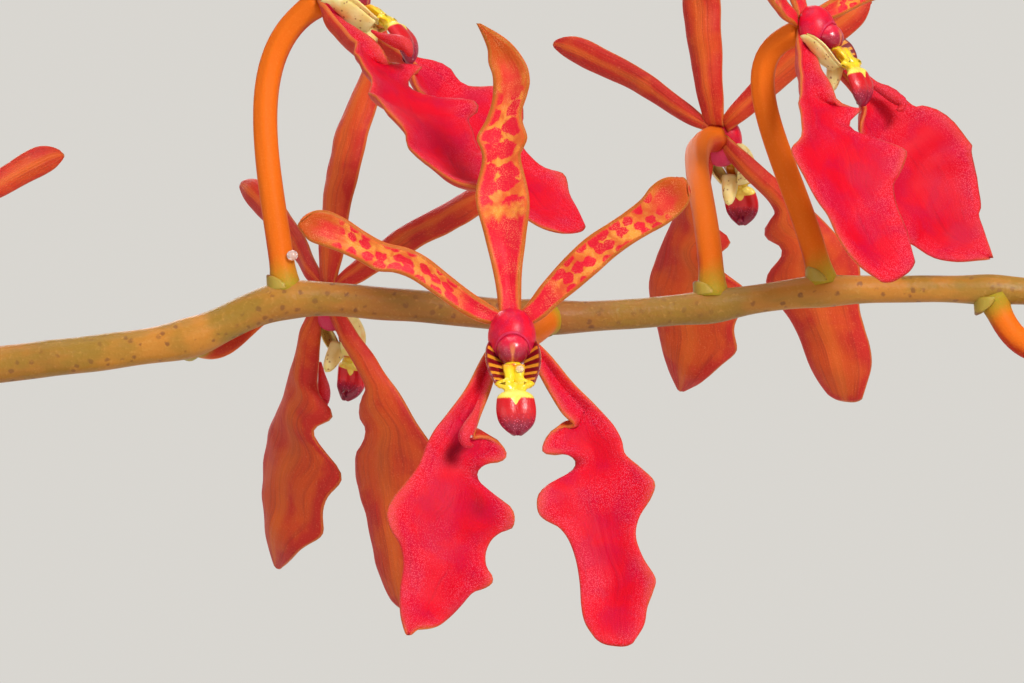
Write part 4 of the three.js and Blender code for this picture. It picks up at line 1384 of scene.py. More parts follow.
@dataclass(frozen=True)
class Lip:
    """The lip: two striped side lobes, a yellow throat, a hanging front lobe and a blunt spur.

    Half outlines are given from the lip's middle line, which drifts sideways as it falls.
    """

    drift: float = -0.055
    side_outer: Points = ((1.6, -0.7, -0.35), (1.86, -1.7, -0.9), (1.92, -2.5, -1.7), (1.8, -2.9, -2.5),
                          (1.55, -3.1, -3.1), (1.3, -3.3, -3.6))
    side_inner: Points = ((1.1, -0.5, -0.5), (0.95, -0.9, -1.2), (0.75, -1.4, -1.9), (0.45, -1.9, -2.5),
                          (0.35, -2.4, -3.1), (0.35, -2.8, -3.65))
    side_back: Points = ((1.3, 0.2, -0.5), (1.35, -0.4, -1.2), (1.2, -0.8, -2.1), (0.95, -1.1, -2.9),
                         (0.7, -1.5, -3.4), (0.5, -1.9, -3.8))
    throat: Points = ((0.8, -2.5, -2.1), (0.72, -2.7, -2.5), (0.6, -2.9, -2.9), (0.66, -3.05, -3.2),
                      (0.95, -3.2, -3.38), (1.42, -3.25, -3.48), (1.0, -3.3, -3.62), (0.74, -3.35, -3.85),
                      (0.68, -3.4, -4.2))
    front: Points = ((0.7, -3.3, -3.95), (0.82, -3.4, -4.2), (1.22, -3.55, -4.4), (1.32, -3.65, -4.8),
                     (1.36, -3.75, -5.2), (1.33, -3.8, -5.6), (1.22, -3.75, -6.0), (0.95, -3.68, -6.35),
                     (0.5, -3.55, -6.65), (0.08, -3.45, -6.87))
    spur: Points = ((0.0, -2.0, -3.1), (0.0, -1.6, -4.1), (0.0, -1.1, -5.3))

    def build(self, fine: bool) -> Form:
        """Makes the lip's parts.

        Args:
            fine: Whether the bloom is seen close.

        Returns:
            The form.
        """
        form = Form()
        us = spread(14 if fine else 8, 0.6)
        vs = spread(34 if fine else 16, 0.3)
        for hand in (-1.0, 1.0):
            outer, inner = Track(self.side_outer), Track(self.side_inner)
            rows = []
            for v in vs:
                a, b = outer.at(v), inner.at(v)
                cup = Vector((0.0, 0.22 * sin(pi * v), 0.0))
                rows.append([self._shifted(a.lerp(b, u) + cup * 4.0 * u * (1.0 - u), hand) for u in us])
            form.blade(rows, us, vs, 0.24, TO_VIEWER, (0, 3))
            back = Track(self.side_back)
            wall = [[self._shifted(outer.at(v).lerp(back.at(v), mix(0.2, 1.0, u)), hand) for u in us]
                    for v in vs]
            bulge = Vector((hand * 0.12, 0.0, 0.0))
            wall = [[p + bulge * sin(pi * u) for u, p in zip(us, row)] for row in wall]
            form.blade(wall, us, vs, 0.18, Vector((hand, 0.0, 0.0)), (3, 3))
        throat = self._half_rows(self.throat, us, vs, self._throat_relief)
        form.blade(throat, us, vs, 0.7, TO_VIEWER, (1, 1))
        front = self._half_rows(self.front, us, vs, self._front_relief)
        form.blade(front, us, vs, 0.75, TO_VIEWER, (2, 2))
        line = [self._shifted(p, 1.0) for p in Track(self.spur).evenly(12)]
        form.tube(line, lambda v, _: 0.72 * sqrt(max(0.0, 1.0 - v ** 4)) * mix(1.0, 0.7, v), 14, 3)
        return form

    def _shifted(self, p: Vector, hand: float) -> Vector:
        """A point of the right half, set on the hand's side of the drifting middle line."""
        return Vector((p.x * hand + self.drift * p.z, p.y, p.z))

    def _half_rows(self, outline: Points, us: Shares, vs: Shares, relief: Field) -> Grid:
        """Rows across both halves of an outline, with a relief over them.

        Args:
            outline: The right half's outline.
            us: Shares across.
            vs: Shares along.
            relief: The relief, by how far a point is to the right and its share along.

        Returns:
            The rows.
        """
        edge = Track(outline)
        rows = []
        for v in vs:
            p = edge.at(v)
            sides = [2.0 * u - 1.0 for u in us]
            rows.append([self._shifted(Vector((p.x * side, p.y + relief(side, v), p.z)), 1.0)
                         for side in sides])
        return rows

    @staticmethod
    def _throat_relief(s: float, v: float) -> float:
        """The throat's groove and the ridge at each side of it."""
        ridges = 0.18 * exp(-((abs(s) - 0.6) / 0.2) ** 2)
        return 0.45 * exp(-(s / 0.3) ** 2) * smooth(0.9, 0.5, v) - ridges

    @staticmethod
    def _front_relief(s: float, v: float) -> float:
        """The front lobe's swell towards the viewer and the fold down its middle."""
        fold = 0.16 * exp(-(s / 0.2) ** 2)
        return -0.55 * (1.0 - s * s) * sin(pi * clamp(v * 0.85 + 0.1)) + fold


class Detail(Enum):
    """How finely a bloom is made: steps across and along a tepal."""

    CLOSE = (26, 96)
    NEAR = (18, 60)
    FAR = (12, 40)


@dataclass(frozen=True)
class Axis:
    """One limb of the flower spray: its route and its radius at both ends."""

    route: Points
    radii: tuple[float, float]

    def node(self, share: float) -> tuple[Vector, Vector, float]:
        """Looks up a spot on the limb.

        Args:
            share: The share of the limb's length.

        Returns:
            The place, the heading and the radius there.
        """
        line = Track(self.route).evenly(LIMB_STEPS)
        k = min(max(round(share * LIMB_STEPS), 1), LIMB_STEPS - 1)
        return line[k], (line[k + 1] - line[k - 1]).normalized(), mix(*self.radii, share)


MAIN_AXIS = Axis(((-9.2, -4.8, 166), (-16, -13, 182), (-20, -17, 210), (-20, -16, 250), (-17, -10, 290),
                  (-14, -4, 318), (-15, 2, 345), (-22, 9, 372), (-35, 16, 396), (-52, 22, 411)), (2.9, 1.1))
BRANCH_A = Axis(((-14.2, -3.6, 320.5), (-10.3, -2, 325.2), (-0.7, 0, 327.6), (11.8, 0, 329.2),
                 (18.4, 0, 330.3), (25.3, 0, 333), (33.8, 0, 332.7), (44.6, 0, 331.8), (55.1, 0, 332.4),
                 (64.8, 0, 333.7), (77.1, 0, 333.8), (88, 0.5, 333.4), (99, 1, 335)), (1.5, 0.85))
BRANCH_B = Axis(((-16.4, -8.6, 297), (-24, -12.6, 304.5), (-40, -19.5, 309), (-58, -27, 310.5),
                 (-78, -35, 310), (-94, -40.5, 313)), (1.5, 0.9))


@dataclass(frozen=True)
class Bloom:
    """One bloom: where its stalk leaves the spray, where it stands and which way it faces."""

    number: int
    axis: Axis
    share: float
    leave: Point
    centre: Point
    yaw: float
    pitch: float = 0.0
    roll: float = 0.0
    size: float = 1.0
    mirrored: bool = False
    ruffle: float = 1.0
    detail: Detail = Detail.FAR
    drops: tuple[tuple[Point, float], ...] = ()
    foot_drop: float = 0.0
    breadth: float = 1.0
    turn: float = 0.0
    petal_drop: float = 0.0

    @property
    def node(self) -> str:
        """The CAD node of the tepals, column and stalk."""
        return f"bloom_{self.number:02d}"

    @property
    def matrix(self) -> Matrix:
        """From the bloom's own frame to the plant's."""
        hand = -1.0 if self.mirrored else 1.0
        return (Matrix.Translation(self.centre) @ Matrix.Rotation(radians(self.yaw), 4, "Z")
                @ Matrix.Rotation(radians(-self.pitch), 4, "X")
                @ Matrix.Rotation(radians(self.roll), 4, "Y")
                @ Matrix.Diagonal((hand * self.size, self.size, self.size, 1.0)))

    def stalk_line(self) -> Track:
        """The stalk's middle, from inside its limb to the back of the bloom."""
        place, _, radius = self.axis.node(self.share)
        away = Vector(self.leave).normalized()
        backward = (self.matrix.to_3x3() @ Vector((0.0, 1.0, 0.0))).normalized()
        start = place + away * radius * 0.5
        end = Vector(self.centre) + backward * 0.6
        return bezier(start, start + away * 8.0, end + backward * 8.0, end, 24)

    def _end(self, form: Form, kind: str, node: str, materials: Materials) -> None:
        """Ends a form where the bloom stands.

        Args:
            form: The form, in the bloom's own frame.
            kind: The start of the piece's name.
            node: The CAD node that it stands for.
            materials: Its materials, by number.
        """
        form.weld()
        form.place(self.matrix)
        form.piece(f"{kind}_{self.number:02d}", [node], materials)

    def tepals(self, materials: Materials) -> None:
        """Makes the five tepals.

        Args:
            materials: Their materials, in the order of Look.
        """
        form = Form()
        across, along = self.detail.value
        us, vs = spread(across, 0.75), spread(along, 0.35)
        for k, tepal in enumerate(TEPALS):
            rows = self._posed(tepal.grid(us, vs, self.ruffle, self.number * 5 + k), vs, tepal)
            tones = tepal.rolls(us, vs, self.ruffle)
            sides = (tepal.look.value, Look.BACK.value)
            form.blade(rows, us, vs, tepal.thickness, TO_VIEWER, sides, tones)
            tepal.roll_up(form)
        self._end(form, "tepals", self.node, materials)

    def _posed(self, rows: Grid, vs: Shares, tepal: Tepal) -> Grid:
        """The rows of a tepal as this bloom holds it.

        Args:
            rows: The rows of the tepal's usual pose.
            vs: Each row's share of the length.
            tepal: The tepal the rows belong to.

        Returns:
            A sepal's rows widened and turned about its midline, or a petal's swung down.
        """
        if tepal.look is Look.PETAL:
            side = copysign(1.0, rows[-1][0].x)
            swing = Matrix.Rotation(radians(self.petal_drop) * side, 3, "Y")
            return [[swing @ p for p in row] for row in rows]
        if tepal.look is not Look.SEPAL:
            return rows
        last, half = len(rows) - 1, len(rows[0]) // 2
        posed = []
        for j, row in enumerate(rows):
            share = min(1.0, 2.0 * vs[j])
            along = rows[min(j + 1, last)][half] - rows[max(j - 1, 0)][half]
            spin = Matrix.Rotation(radians(self.turn) * share, 3, along) * mix(1.0, self.breadth, share)
            posed.append([row[half] + spin @ (p - row[half]) for p in row])
        return posed

    def column(self, materials: Materials) -> None:
        """Makes the column."""
        form = Column().build(self.detail is not Detail.FAR)
        self._end(form, "column", self.node, materials)

    def lip(self, materials: Materials) -> None:
        """Makes the lip."""
        form = Lip().build(self.detail is not Detail.FAR)
        self._end(form, "lip_parts", f"lip_{self.number:02d}", materials)

    def stalk(self, materials: Materials) -> None:
        """Makes the stalk, ribbed towards the bloom and flared at both ends.

        Args:
            materials: Its materials, by number.
        """
        form = Form()
        line = self.stalk_line().evenly(40)

        def radius(v: float, turn: float) -> float:
            """The stalk's radius by its share along and the turn."""
            ribs = 0.055 * smooth(0.25, 0.9, v) * cos(TURN * (turn * 6.0 + v * 0.6))
            foot = 0.32 * exp(-(v / 0.05) ** 2)
            neck = 0.12 * exp(-((v - 1.0) / 0.06) ** 2)
            return mix(0.93, 0.88, v) * (1.0 + ribs) + foot + neck

        form.tube(line, radius, 24)
        form.weld()
        form.piece(f"stalk_{self.number:02d}", [self.node], materials)

    def nectar(self, materials: Materials) -> None:
        """Makes the drops of nectar that cling to the bloom.

        Args:
            materials: Their material.
        """
        place, heading, _ = self.axis.node(self.share)
        foot = place + Vector(self.leave).normalized() * 3.2 + heading * 0.8 - Vector((0.0, 0.9, 0.0))
        drops = [(self.matrix @ Vector(middle), radius) for middle, radius in self.drops]
        drops += [(foot, self.foot_drop)] if self.foot_drop else []
        if not drops:
            return
        form = Form()
        for middle, radius in drops:
            made = bmesh.ops.create_icosphere(form.bm, subdivisions=3, radius=radius)["verts"]
            bmesh.ops.scale(form.bm, vec=(1.0, 0.85, 0.9), verts=made)
            bmesh.ops.translate(form.bm, vec=middle, verts=made)
        for face in form.bm.faces:
            face.smooth = True
        form.piece(f"nectar_{self.number:02d}", [], materials)


MAIN_DROPS = (((0.55, -3.2, -2.42), 0.3), ((-3.4, -4.95, -6.9), 0.17), ((-2.85, -5.2, -7.05), 0.12))
BLOOMS = (
    Bloom(1, BRANCH_A, 0.534, (-0.2, -0.95, -0.25), (42, -17, 330.5), 0, detail=Detail.CLOSE,
          drops=MAIN_DROPS),
    Bloom(2, BRANCH_A, 0.369, (-0.1, 0, 1), (28.4, 1.5, 355.3), 70, 26, 8, size=1.06, ruffle=0.9,
          breadth=1.15, turn=25, detail=Detail.NEAR, foot_drop=0.42),
    Bloom(3, BRANCH_A, 0.305, (0.35, 0.9, -0.3), (27.9, 17, 333.2), 138, -10, -8, size=1.03, mirrored=True,
          ruffle=0.2, breadth=1.15, detail=Detail.NEAR),
    Bloom(4, BRANCH_A, 0.637, (0, 0.2, 1), (58, 22, 345.8), 156, 5, mirrored=True, ruffle=0.2, breadth=1.1,
          detail=Detail.NEAR),
    Bloom(5, BRANCH_A, 0.707, (-0.18, 0, 1), (63.7, -1, 352.8), 54, 11, -4, size=0.92, mirrored=True,
          ruffle=0.2, breadth=1.35, turn=-30, petal_drop=14, detail=Detail.NEAR),
    Bloom(6, BRANCH_A, 0.812, (0.3, -0.1, -0.95), (92, -8, 331), 62, size=0.96, ruffle=0.8,
          detail=Detail.NEAR),
    Bloom(7, BRANCH_A, 0.141, (-0.35, 0.9, 0.2), (-6.6, 20, 336), 192, roll=4, ruffle=0.7,
          detail=Detail.NEAR),
    Bloom(8, BRANCH_A, 0.922, (0.1, 0.35, 1), (94, 15, 348), 128, 8, size=0.94, mirrored=True, ruffle=0.7),
    Bloom(9, BRANCH_B, 0.26, (0.1, -0.8, 0.5), (-33, -34, 315), -8, 4, -3, mirrored=True),
    Bloom(10, BRANCH_B, 0.46, (-0.2, 0.8, 0.6), (-54, -6, 320), 172, roll=3, size=0.98, ruffle=0.7),
    Bloom(11, BRANCH_B, 0.66, (0, -0.75, 0.65), (-67, -47, 321), -22, 3, size=0.97, ruffle=0.9),
    Bloom(12, BRANCH_B, 0.865, (-0.3, 0.6, 0.7), (-92, -24, 324), -128, 6, size=0.95, mirrored=True,
          ruffle=0.8),
    Bloom(13, MAIN_AXIS, 0.725, (-0.6, -0.7, 0.4), (-30, -11, 360), -38, 4, ruffle=0.9),
    Bloom(14, MAIN_AXIS, 0.805, (0.75, 0.5, 0.4), (-6, 19, 384), 112, 6, mirrored=True, ruffle=0.8),
    Bloom(15, MAIN_AXIS, 0.902, (-0.1, -0.8, 0.55), (-36, -2, 402), -14, 8, 3, size=0.98, mirrored=True),
    Bloom(16, MAIN_AXIS, 0.961, (0.2, 0.85, 0.3), (-47, 36, 413), 190, 8, size=0.96, ruffle=0.8),
)


# The spray

@dataclass(frozen=True)
class Spray:
    """The flower spray's limbs, with a swelling and a bract at each node."""

    limbs: tuple[Axis, ...] = (MAIN_AXIS, BRANCH_A, BRANCH_B)
    foot: Points = ((-3.6, -0.4, 157.5), (-6.6, -3.0, 160.5), (-9.3, -5.0, 166), (-11.2, -7.1, 170.5))
    foot_radii: tuple[float, float] = (1.6, 2.75)
    sides: int = 20
    swell: float = 0.28
    bract_length: float = 1.25

    def build(self, finishes: Materials) -> None:
        """Makes the limbs and their bracts.

        Args:
            finishes: The materials of the limbs and of the bracts.
        """
        form = Form()
        for k, limb in enumerate(self.limbs):
            shares = [b.share for b in BLOOMS if b.axis is limb]
            steps = 220 if k < 2 else 120

            def radius(v: float, turn: float, limb: Axis = limb, shares: Shares = shares,
                       k: int = k) -> float:
                """The limb's radius by its share along and the turn."""
                knots = sum(exp(-((v - s) / 0.016) ** 2) for s in shares)
                lumps = noise.noise(Vector((v * 34.0, cos(turn * TURN), k * 9.0)))
                return mix(*limb.radii, v) * (1.0 + self.swell * min(knots, 1.0) * 0.6 + 0.05 * lumps)

            form.tube(Track(limb.route).evenly(steps), radius, self.sides)
        form.tube(Track(self.foot).evenly(24), lambda v, _: mix(*self.foot_radii, smooth(0.0, 0.7, v)),
                  self.sides)
        for bloom in BLOOMS:
            self._bract(form, bloom)
        form.weld()
        form.piece("flower_axis", ["panicle_axis"], finishes)

    def _bract(self, form: Form, bloom: Bloom) -> None:
        """Adds the cupped scale that hugs the basal side of a stalk's foot.

        Args:
            form: The form that takes it.
            bloom: The bloom on the stalk.
        """
        place, heading, radius = bloom.axis.node(bloom.share)
        away = Vector(bloom.leave).normalized()
        away = (away - heading * away.dot(heading)).normalized()
        side = heading.cross(away)
        us, vs = spread(12, 0.5), spread(12, 0.3)
        rows = []
        for v in vs:
            wrap = radians(100.0 * sqrt(max(0.0, 1.0 - v ** 1.7)) + 4.0)
            reach = mix(1.2, 1.08, v)
            height = radius * 0.66 + self.bract_length * v
            rows.append([place + away * height + (-heading * cos(a) + side * sin(a)) * reach
                         for a in (mix(-wrap, wrap, u) for u in us)])
        form.blade(rows, us, vs, 0.22, -heading, (1, 1))


@dataclass(frozen=True)
class BudTip:
    """The end of a limb with its buds, which grow smaller towards the tip.

    Each entry of sizes is a bud's share of the way along the tip, its length and its radius.
    """

    name: str
    route: Points
    ends: Points
    sizes: Points = ((0.12, 11, 2.7), (0.42, 9, 2.3), (0.7, 7, 1.9), (0.98, 5.5, 1.5))

    def build(self, finishes: Materials) -> None:
        """Makes the tip and its buds.

        Args:
            finishes: The materials of the tip and of the buds.
        """
        form = Form()
        line = Track(self.route).evenly(24)
        start = line[0] - (line[1] - line[0]).normalized() * 0.9
        form.tube([start, *line[1:]], lambda v, _: mix(0.88, 0.5, v), 12, 0)
        for end, size in zip(self.ends, self.sizes):
            self._bud(form, line, Vector(end), size)
        form.weld()
        form.piece(f"{self.name}_buds", [self.name], finishes)

    @staticmethod
    def _bud(form: Form, line: list[Vector], end: Vector, size: Point) -> None:
        """Adds a bud on its stalk.

        Args:
            form: The form that takes it.
            line: The tip's middle.
            end: The bud's end.
            size: Its share of the way along the tip, its length and its radius.
        """
        share, length, width = size
        base = line[round(share * (len(line) - 1))]
        bend = base.lerp(end, 0.5) - Vector((0.0, 0.0, length * 0.12))
        way = bezier(base, base.lerp(bend, 2 / 3), end.lerp(bend, 2 / 3), end, 20).evenly(36)
        total = sum((b - a).length for a, b in zip(way, way[1:]))
        free = 1.0 - length / total

        def radius(v: float, turn: float) -> float:
            """The radius of the stalk and its bud by the share along and the turn."""
            into = clamp((v - free) / (1.0 - free))
            swell = sin(pi * into ** 0.8) ** 0.85 if into > 0.0 else 0.0
            seams = 1.0 - 0.1 * (0.5 + 0.5 * cos(turn * 6.0 * pi)) ** 6 * swell
            return max(mix(0.62 * (1.0 - into ** 8), width, swell) * seams, 0.02)

        form.tube(way, radius, 24, 1)


BUD_TIPS = (
    BudTip("buds_right", ((99.9, 1.05, 335.2), (108, 1.5, 337.5), (116, 2, 341.5)),
           ((103, 9, 345), (110.5, -6, 345.5), (114, 7.5, 349), (121, 2, 345.5))),
    BudTip("buds_left", ((-95, -40.8, 313.2), (-103, -43, 317), (-110, -45, 322)),
           ((-97, -34, 323), (-104, -51, 324), (-108.5, -39.5, 329), (-115, -46, 326.5))),
    BudTip("buds_top", ((-52.9, 22.3, 411.6), (-62, 25, 416), (-71, 27, 418)),
           ((-58.5, 18, 423), (-62.5, 33.5, 421), (-70, 20, 422.5), (-76.5, 28, 420))),
)


# The leafy stem

@dataclass(frozen=True)
class LeafyStem:
    """The stem wrapped in leaf sheaths, with strap leaves in two ranks."""

    route: Points = ((-2, 1, 60), (-1, 1, 100), (-3, 1, 150), (-2, 0, 200), (-4, 0, 243))
    radius: float = 5.6
    tip_radius: float = 3.2
    sheath: float = 0.9
    count: int = 11
    first_z: float = 106.0
    last_z: float = 234.0
    plane: float = -25.0
    length: float = 88.0
    young_length: float = 56.0
    width: float = 18.0
    thickness: float = 1.7
    rise: float = 58.0
    droop: float = -14.0
    keel: float = 2.6
    notch: float = 3.2
    clasp: float = 70.0
    wrap: float = 2.25
    gap: float = 1.25
    arc_steps: int = 5

    def build(self, leaf: Material, sheath: Material) -> None:
        """Makes the stem and the leaves, which together stand for the CAD stem.

        Args:
            leaf: The leaves' material.
            sheath: The stem's material.
        """
        form = Form()
        steps = 260
        line = Track(self.route).evenly(steps)
        low, high = self.route[0][2], self.route[-1][2]
        pitch = (self.last_z - self.first_z) / (self.count - 1) / (high - low)
        offset = (self.first_z - low) / (high - low)

        def radius(v: float, turn: float) -> float:
            """The radius of the sheathed stem by the share along and the turn."""
            phase = ((v - offset) / pitch) % 1.0
            layer = int((v - offset) / pitch)
            overlap = self.sheath * (1.0 - phase) ** 0.7
            ribs = 0.05 * cos(turn * 44.0 * pi + layer)
            top = sqrt(max(0.0, 1.0 - clamp((v - 0.975) / 0.025) ** 2))
            return (mix(self.radius, self.tip_radius, v ** 2) + overlap + ribs) * max(top, 0.02)

        form.tube(line, radius, 44)
        for vert in form.bm.verts:
            vert[form.tone] = smooth(190.0, 90.0, vert.co.z)
        form.weld()
        form.piece("stem", ["leafy_stem"], [sheath])
        for i in range(self.count):
            self._leaf(i, line, (low, high), leaf)

    def _arc(self, i: int) -> tuple[Track, Track]:
        """A leaf's run in its own plane.

        Args:
            i: The leaf's number, from the lowest.

        Returns:
            Its middle line and its upward directions.
        """
        share = i / (self.count - 1)
        length = mix(self.length, self.young_length, share ** 2)
        rise = mix(self.rise - 14.0, self.rise + 8.0, share)
        droop = self.droop + 26.0 * share + 10.0 * (draw(i + 1) - 0.5)
        at, points, ups = Vector((0.0, 0.0, 0.0)), [], []
        for k in range(self.arc_steps + 1):
            angle = radians(mix(rise, droop, k / self.arc_steps))
            heading = Vector((cos(angle), 0.0, sin(angle)))
            if k:
                at = at + heading * length / self.arc_steps
            points.append(tuple(at))
            ups.append((-heading.z, 0.0, heading.x))
        return Track(tuple(points)), Track(tuple(ups))

    def _leaf(self, i: int, line: list[Vector], span: tuple[float, float], finish: Material) -> None:
        """Makes one leaf, notched at the tip and clasping the stem.

        Args:
            i: The leaf's number, from the lowest.
            line: The stem's middle.
            span: The stem's lowest and highest point.
            finish: The leaf's material.
        """
        way, ups = self._arc(i)
        us, vs = spread(20, 0.5), spread(56, 0.3)
        z = mix(self.first_z, self.last_z, i / (self.count - 1))
        share = (z - span[0]) / (span[1] - span[0])
        girth = mix(self.radius, self.tip_radius, share ** 2) + self.gap
        rows = []
        for v in vs:
            row, clasp = [], smooth(0.19, 0.02, v)
            for u in us:
                s = 2.0 * u - 1.0
                notch = self.notch / self.length * 2.2 * max(0.0, 1.0 - abs(s) / 0.5) ** 1.3
                lobe = 0.075 * max(0.0, (abs(s) - 0.35) / 0.65) ** 2.2
                t = v * (1.0 - (notch + lobe) * smooth(0.6, 1.0, v))
                narrow = 1.0 - 0.38 * smooth(0.7, 1.0, v) ** 1.5
                half = self.width / 2.0 * min(1.0, 0.5 + 1.6 * v) * narrow
                fold = self.keel * (1.0 - 0.6 * v) * abs(s) ** 1.4
                wave = 0.5 * noise.noise(Vector((v * 4.0, s * 0.7, i * 3.1))) * smooth(0.1, 0.5, v)
                free = way.at(t) + ups.at(t) * (fold + wave) + Vector((0.0, s * half, 0.0))
                turn = self.wrap * s
                held = Vector((girth * cos(turn), girth * sin(turn), self.clasp * v - 2.0))
                row.append(free.lerp(held, clasp))
            rows.append(row)
        form = Form()
        form.blade(rows, us, vs, self.thickness, UP)
        form.weld()
        foot = line[round(share * (len(line) - 1))]
        turn = radians(self.plane + (180.0 if i % 2 else 0.0) + 14.0 * (draw(i + 3) - 0.5))
        form.place(Matrix.Translation(foot) @ Matrix.Rotation(turn, 4, "Z"))
        form.piece(f"leaf_{i + 1:02d}", ["leafy_stem"], [finish])


@dataclass(frozen=True)
class Roots:
    """Aerial roots: three dive into the bark, and one hangs over the rim."""

    radius: float = 2.1
    tip_radius: float = 1.5
    routes: tuple[Points, ...] = (
        ((2, -3, 99), (13, -12, 100), (24, -19, 96), (29, -23, 87), (30, -24, 76)),
        ((-5, 4, 101), (-16, 13, 102), (-25, 19, 97), (-29, 22, 88), (-29, 22, 76)),
        ((-4, -4, 98), (-15, -13, 106), (-29, -25, 111.5), (-40, -35, 109), (-46, -40, 98), (-47, -41, 80),
         (-46.5, -41, 60)),
        ((2, 5, 100), (11, 15, 103), (20, 24, 98), (24, 28, 89), (24, 28, 78)),
    )

    def build(self, finish: Material) -> None:
        """Makes each root.

        Args:
            finish: The roots' material.
        """
        for k, route in enumerate(self.routes):
            def radius(v: float, turn: float, k: int = k) -> float:
                """The root's radius by its share along and the turn."""
                angle = turn * TURN
                lumps = noise.noise(Vector((v * 16.0, cos(angle), k * 5.0 + sin(angle))))
                end = sqrt(max(0.0, 1.0 - clamp((v - 0.965) / 0.035) ** 2))
                return mix(self.radius, self.tip_radius, v) * (1.0 + 0.09 * lumps) * max(end, 0.02)

            form = Form()
            form.tube(Track(route).evenly(90), radius, 20)
            form.weld()
            form.piece(f"aerial_root_{k + 1}", [f"root_{k + 1}"], [finish])


# The pot and the bark

@dataclass(frozen=True)
class Pot:
    """A clay pot: tapered wall, thick rim band, and drain holes in its floor."""

    height: float = 100.0
    foot_radius: float = 37.0
    waist_radius: float = 49.0
    rim_radius: float = 56.0
    rim_height: float = 19.0
    wall: float = 5.0
    floor: float = 6.0
    lip: float = 1.5
    drain_radius: float = 4.5
    drain_ring: float = 20.0
    drains: int = 4
    turns: int = 112

    @property
    def waist(self) -> float:
        """The height where the rim band begins."""
        return self.height - self.rim_height

    def outside(self, z: float) -> float:
        """The wall's outer radius at a height."""
        return mix(self.foot_radius, self.waist_radius, z / self.waist)

    def inside(self, z: float) -> float:
        """The wall's inner radius at a height."""
        return self.outside(z) - self.wall

    def build(self, finish: Material) -> None:
        """Spins the pot from its section and drills its drains.

        Args:
            finish: The pot's material.
        """
        inner_rim = self.rim_radius - self.wall
        section = [
            (0.0, 0.0), (self.foot_radius, 0.0), (self.outside(self.waist), self.waist),
            (self.rim_radius, self.waist), (self.rim_radius, self.height), (inner_rim, self.height),
            (inner_rim, self.waist + 4.0), (self.inside(self.waist), self.waist - 2.0),
            (self.inside(self.floor), self.floor), (0.0, self.floor),
        ]
        form = Form()
        verts = [form.bm.verts.new((r, 0.0, z)) for r, z in section]
        edges = [form.bm.edges.new(pair) for pair in zip(verts, verts[1:])]
        bmesh.ops.spin(form.bm, geom=[*verts, *edges], cent=(0, 0, 0), axis=(0, 0, 1),
                       angle=TURN, steps=self.turns, use_merge=True)
        form.weld(1e-3)
        corners = [e for e in form.bm.edges if self._is_corner(e)]
        bmesh.ops.bevel(form.bm, geom=corners, offset=self.lip, segments=4, affect="EDGES", profile=0.5,
                        material=-1)
        for face in form.bm.faces:
            face.smooth = True
        pot = form.piece("clay_pot", ["pot"], [finish])
        self._drill(pot)

    def _is_corner(self, edge: bmesh.types.BMEdge) -> bool:
        """Whether an edge runs round one of the pot's rounded corners.

        Args:
            edge: The edge.

        Returns:
            True for a corner's edge.
        """
        a, b = (v.co for v in edge.verts)
        reach, other = (hypot(p.x, p.y) for p in (a, b))
        round_it = abs(a.z - b.z) < 0.01 and abs(reach - other) < 0.01 and reach > 30.0
        return round_it and not 0.1 < a.z < self.floor + 0.1

    def _drill(self, pot: Piece) -> None:
        """Cuts the drain holes through the floor.

        Args:
            pot: The pot's object.
        """
        form = Form()
        for k in range(self.drains):
            turn = (k + 0.5) / self.drains * TURN
            made = bmesh.ops.create_cone(form.bm, cap_ends=True, segments=32, radius1=self.drain_radius,
                                         radius2=self.drain_radius, depth=self.floor * 4.0)["verts"]
            spot = (cos(turn) * self.drain_ring, sin(turn) * self.drain_ring, 0.0)
            bmesh.ops.translate(form.bm, verts=made, vec=spot)
        bits = put("drain bits", form.mesh("drain bits"))
        cut = pot.modifiers.new("drains", "BOOLEAN")
        cut.operation = "DIFFERENCE"
        cut.solver = "EXACT"
        cut.object = bits
        shaped = bpy.data.meshes.new_from_object(pot.evaluated_get(bpy.context.evaluated_depsgraph_get()))
        pot.modifiers.clear()
        pot.data = shaped
        bpy.data.objects.remove(bits)


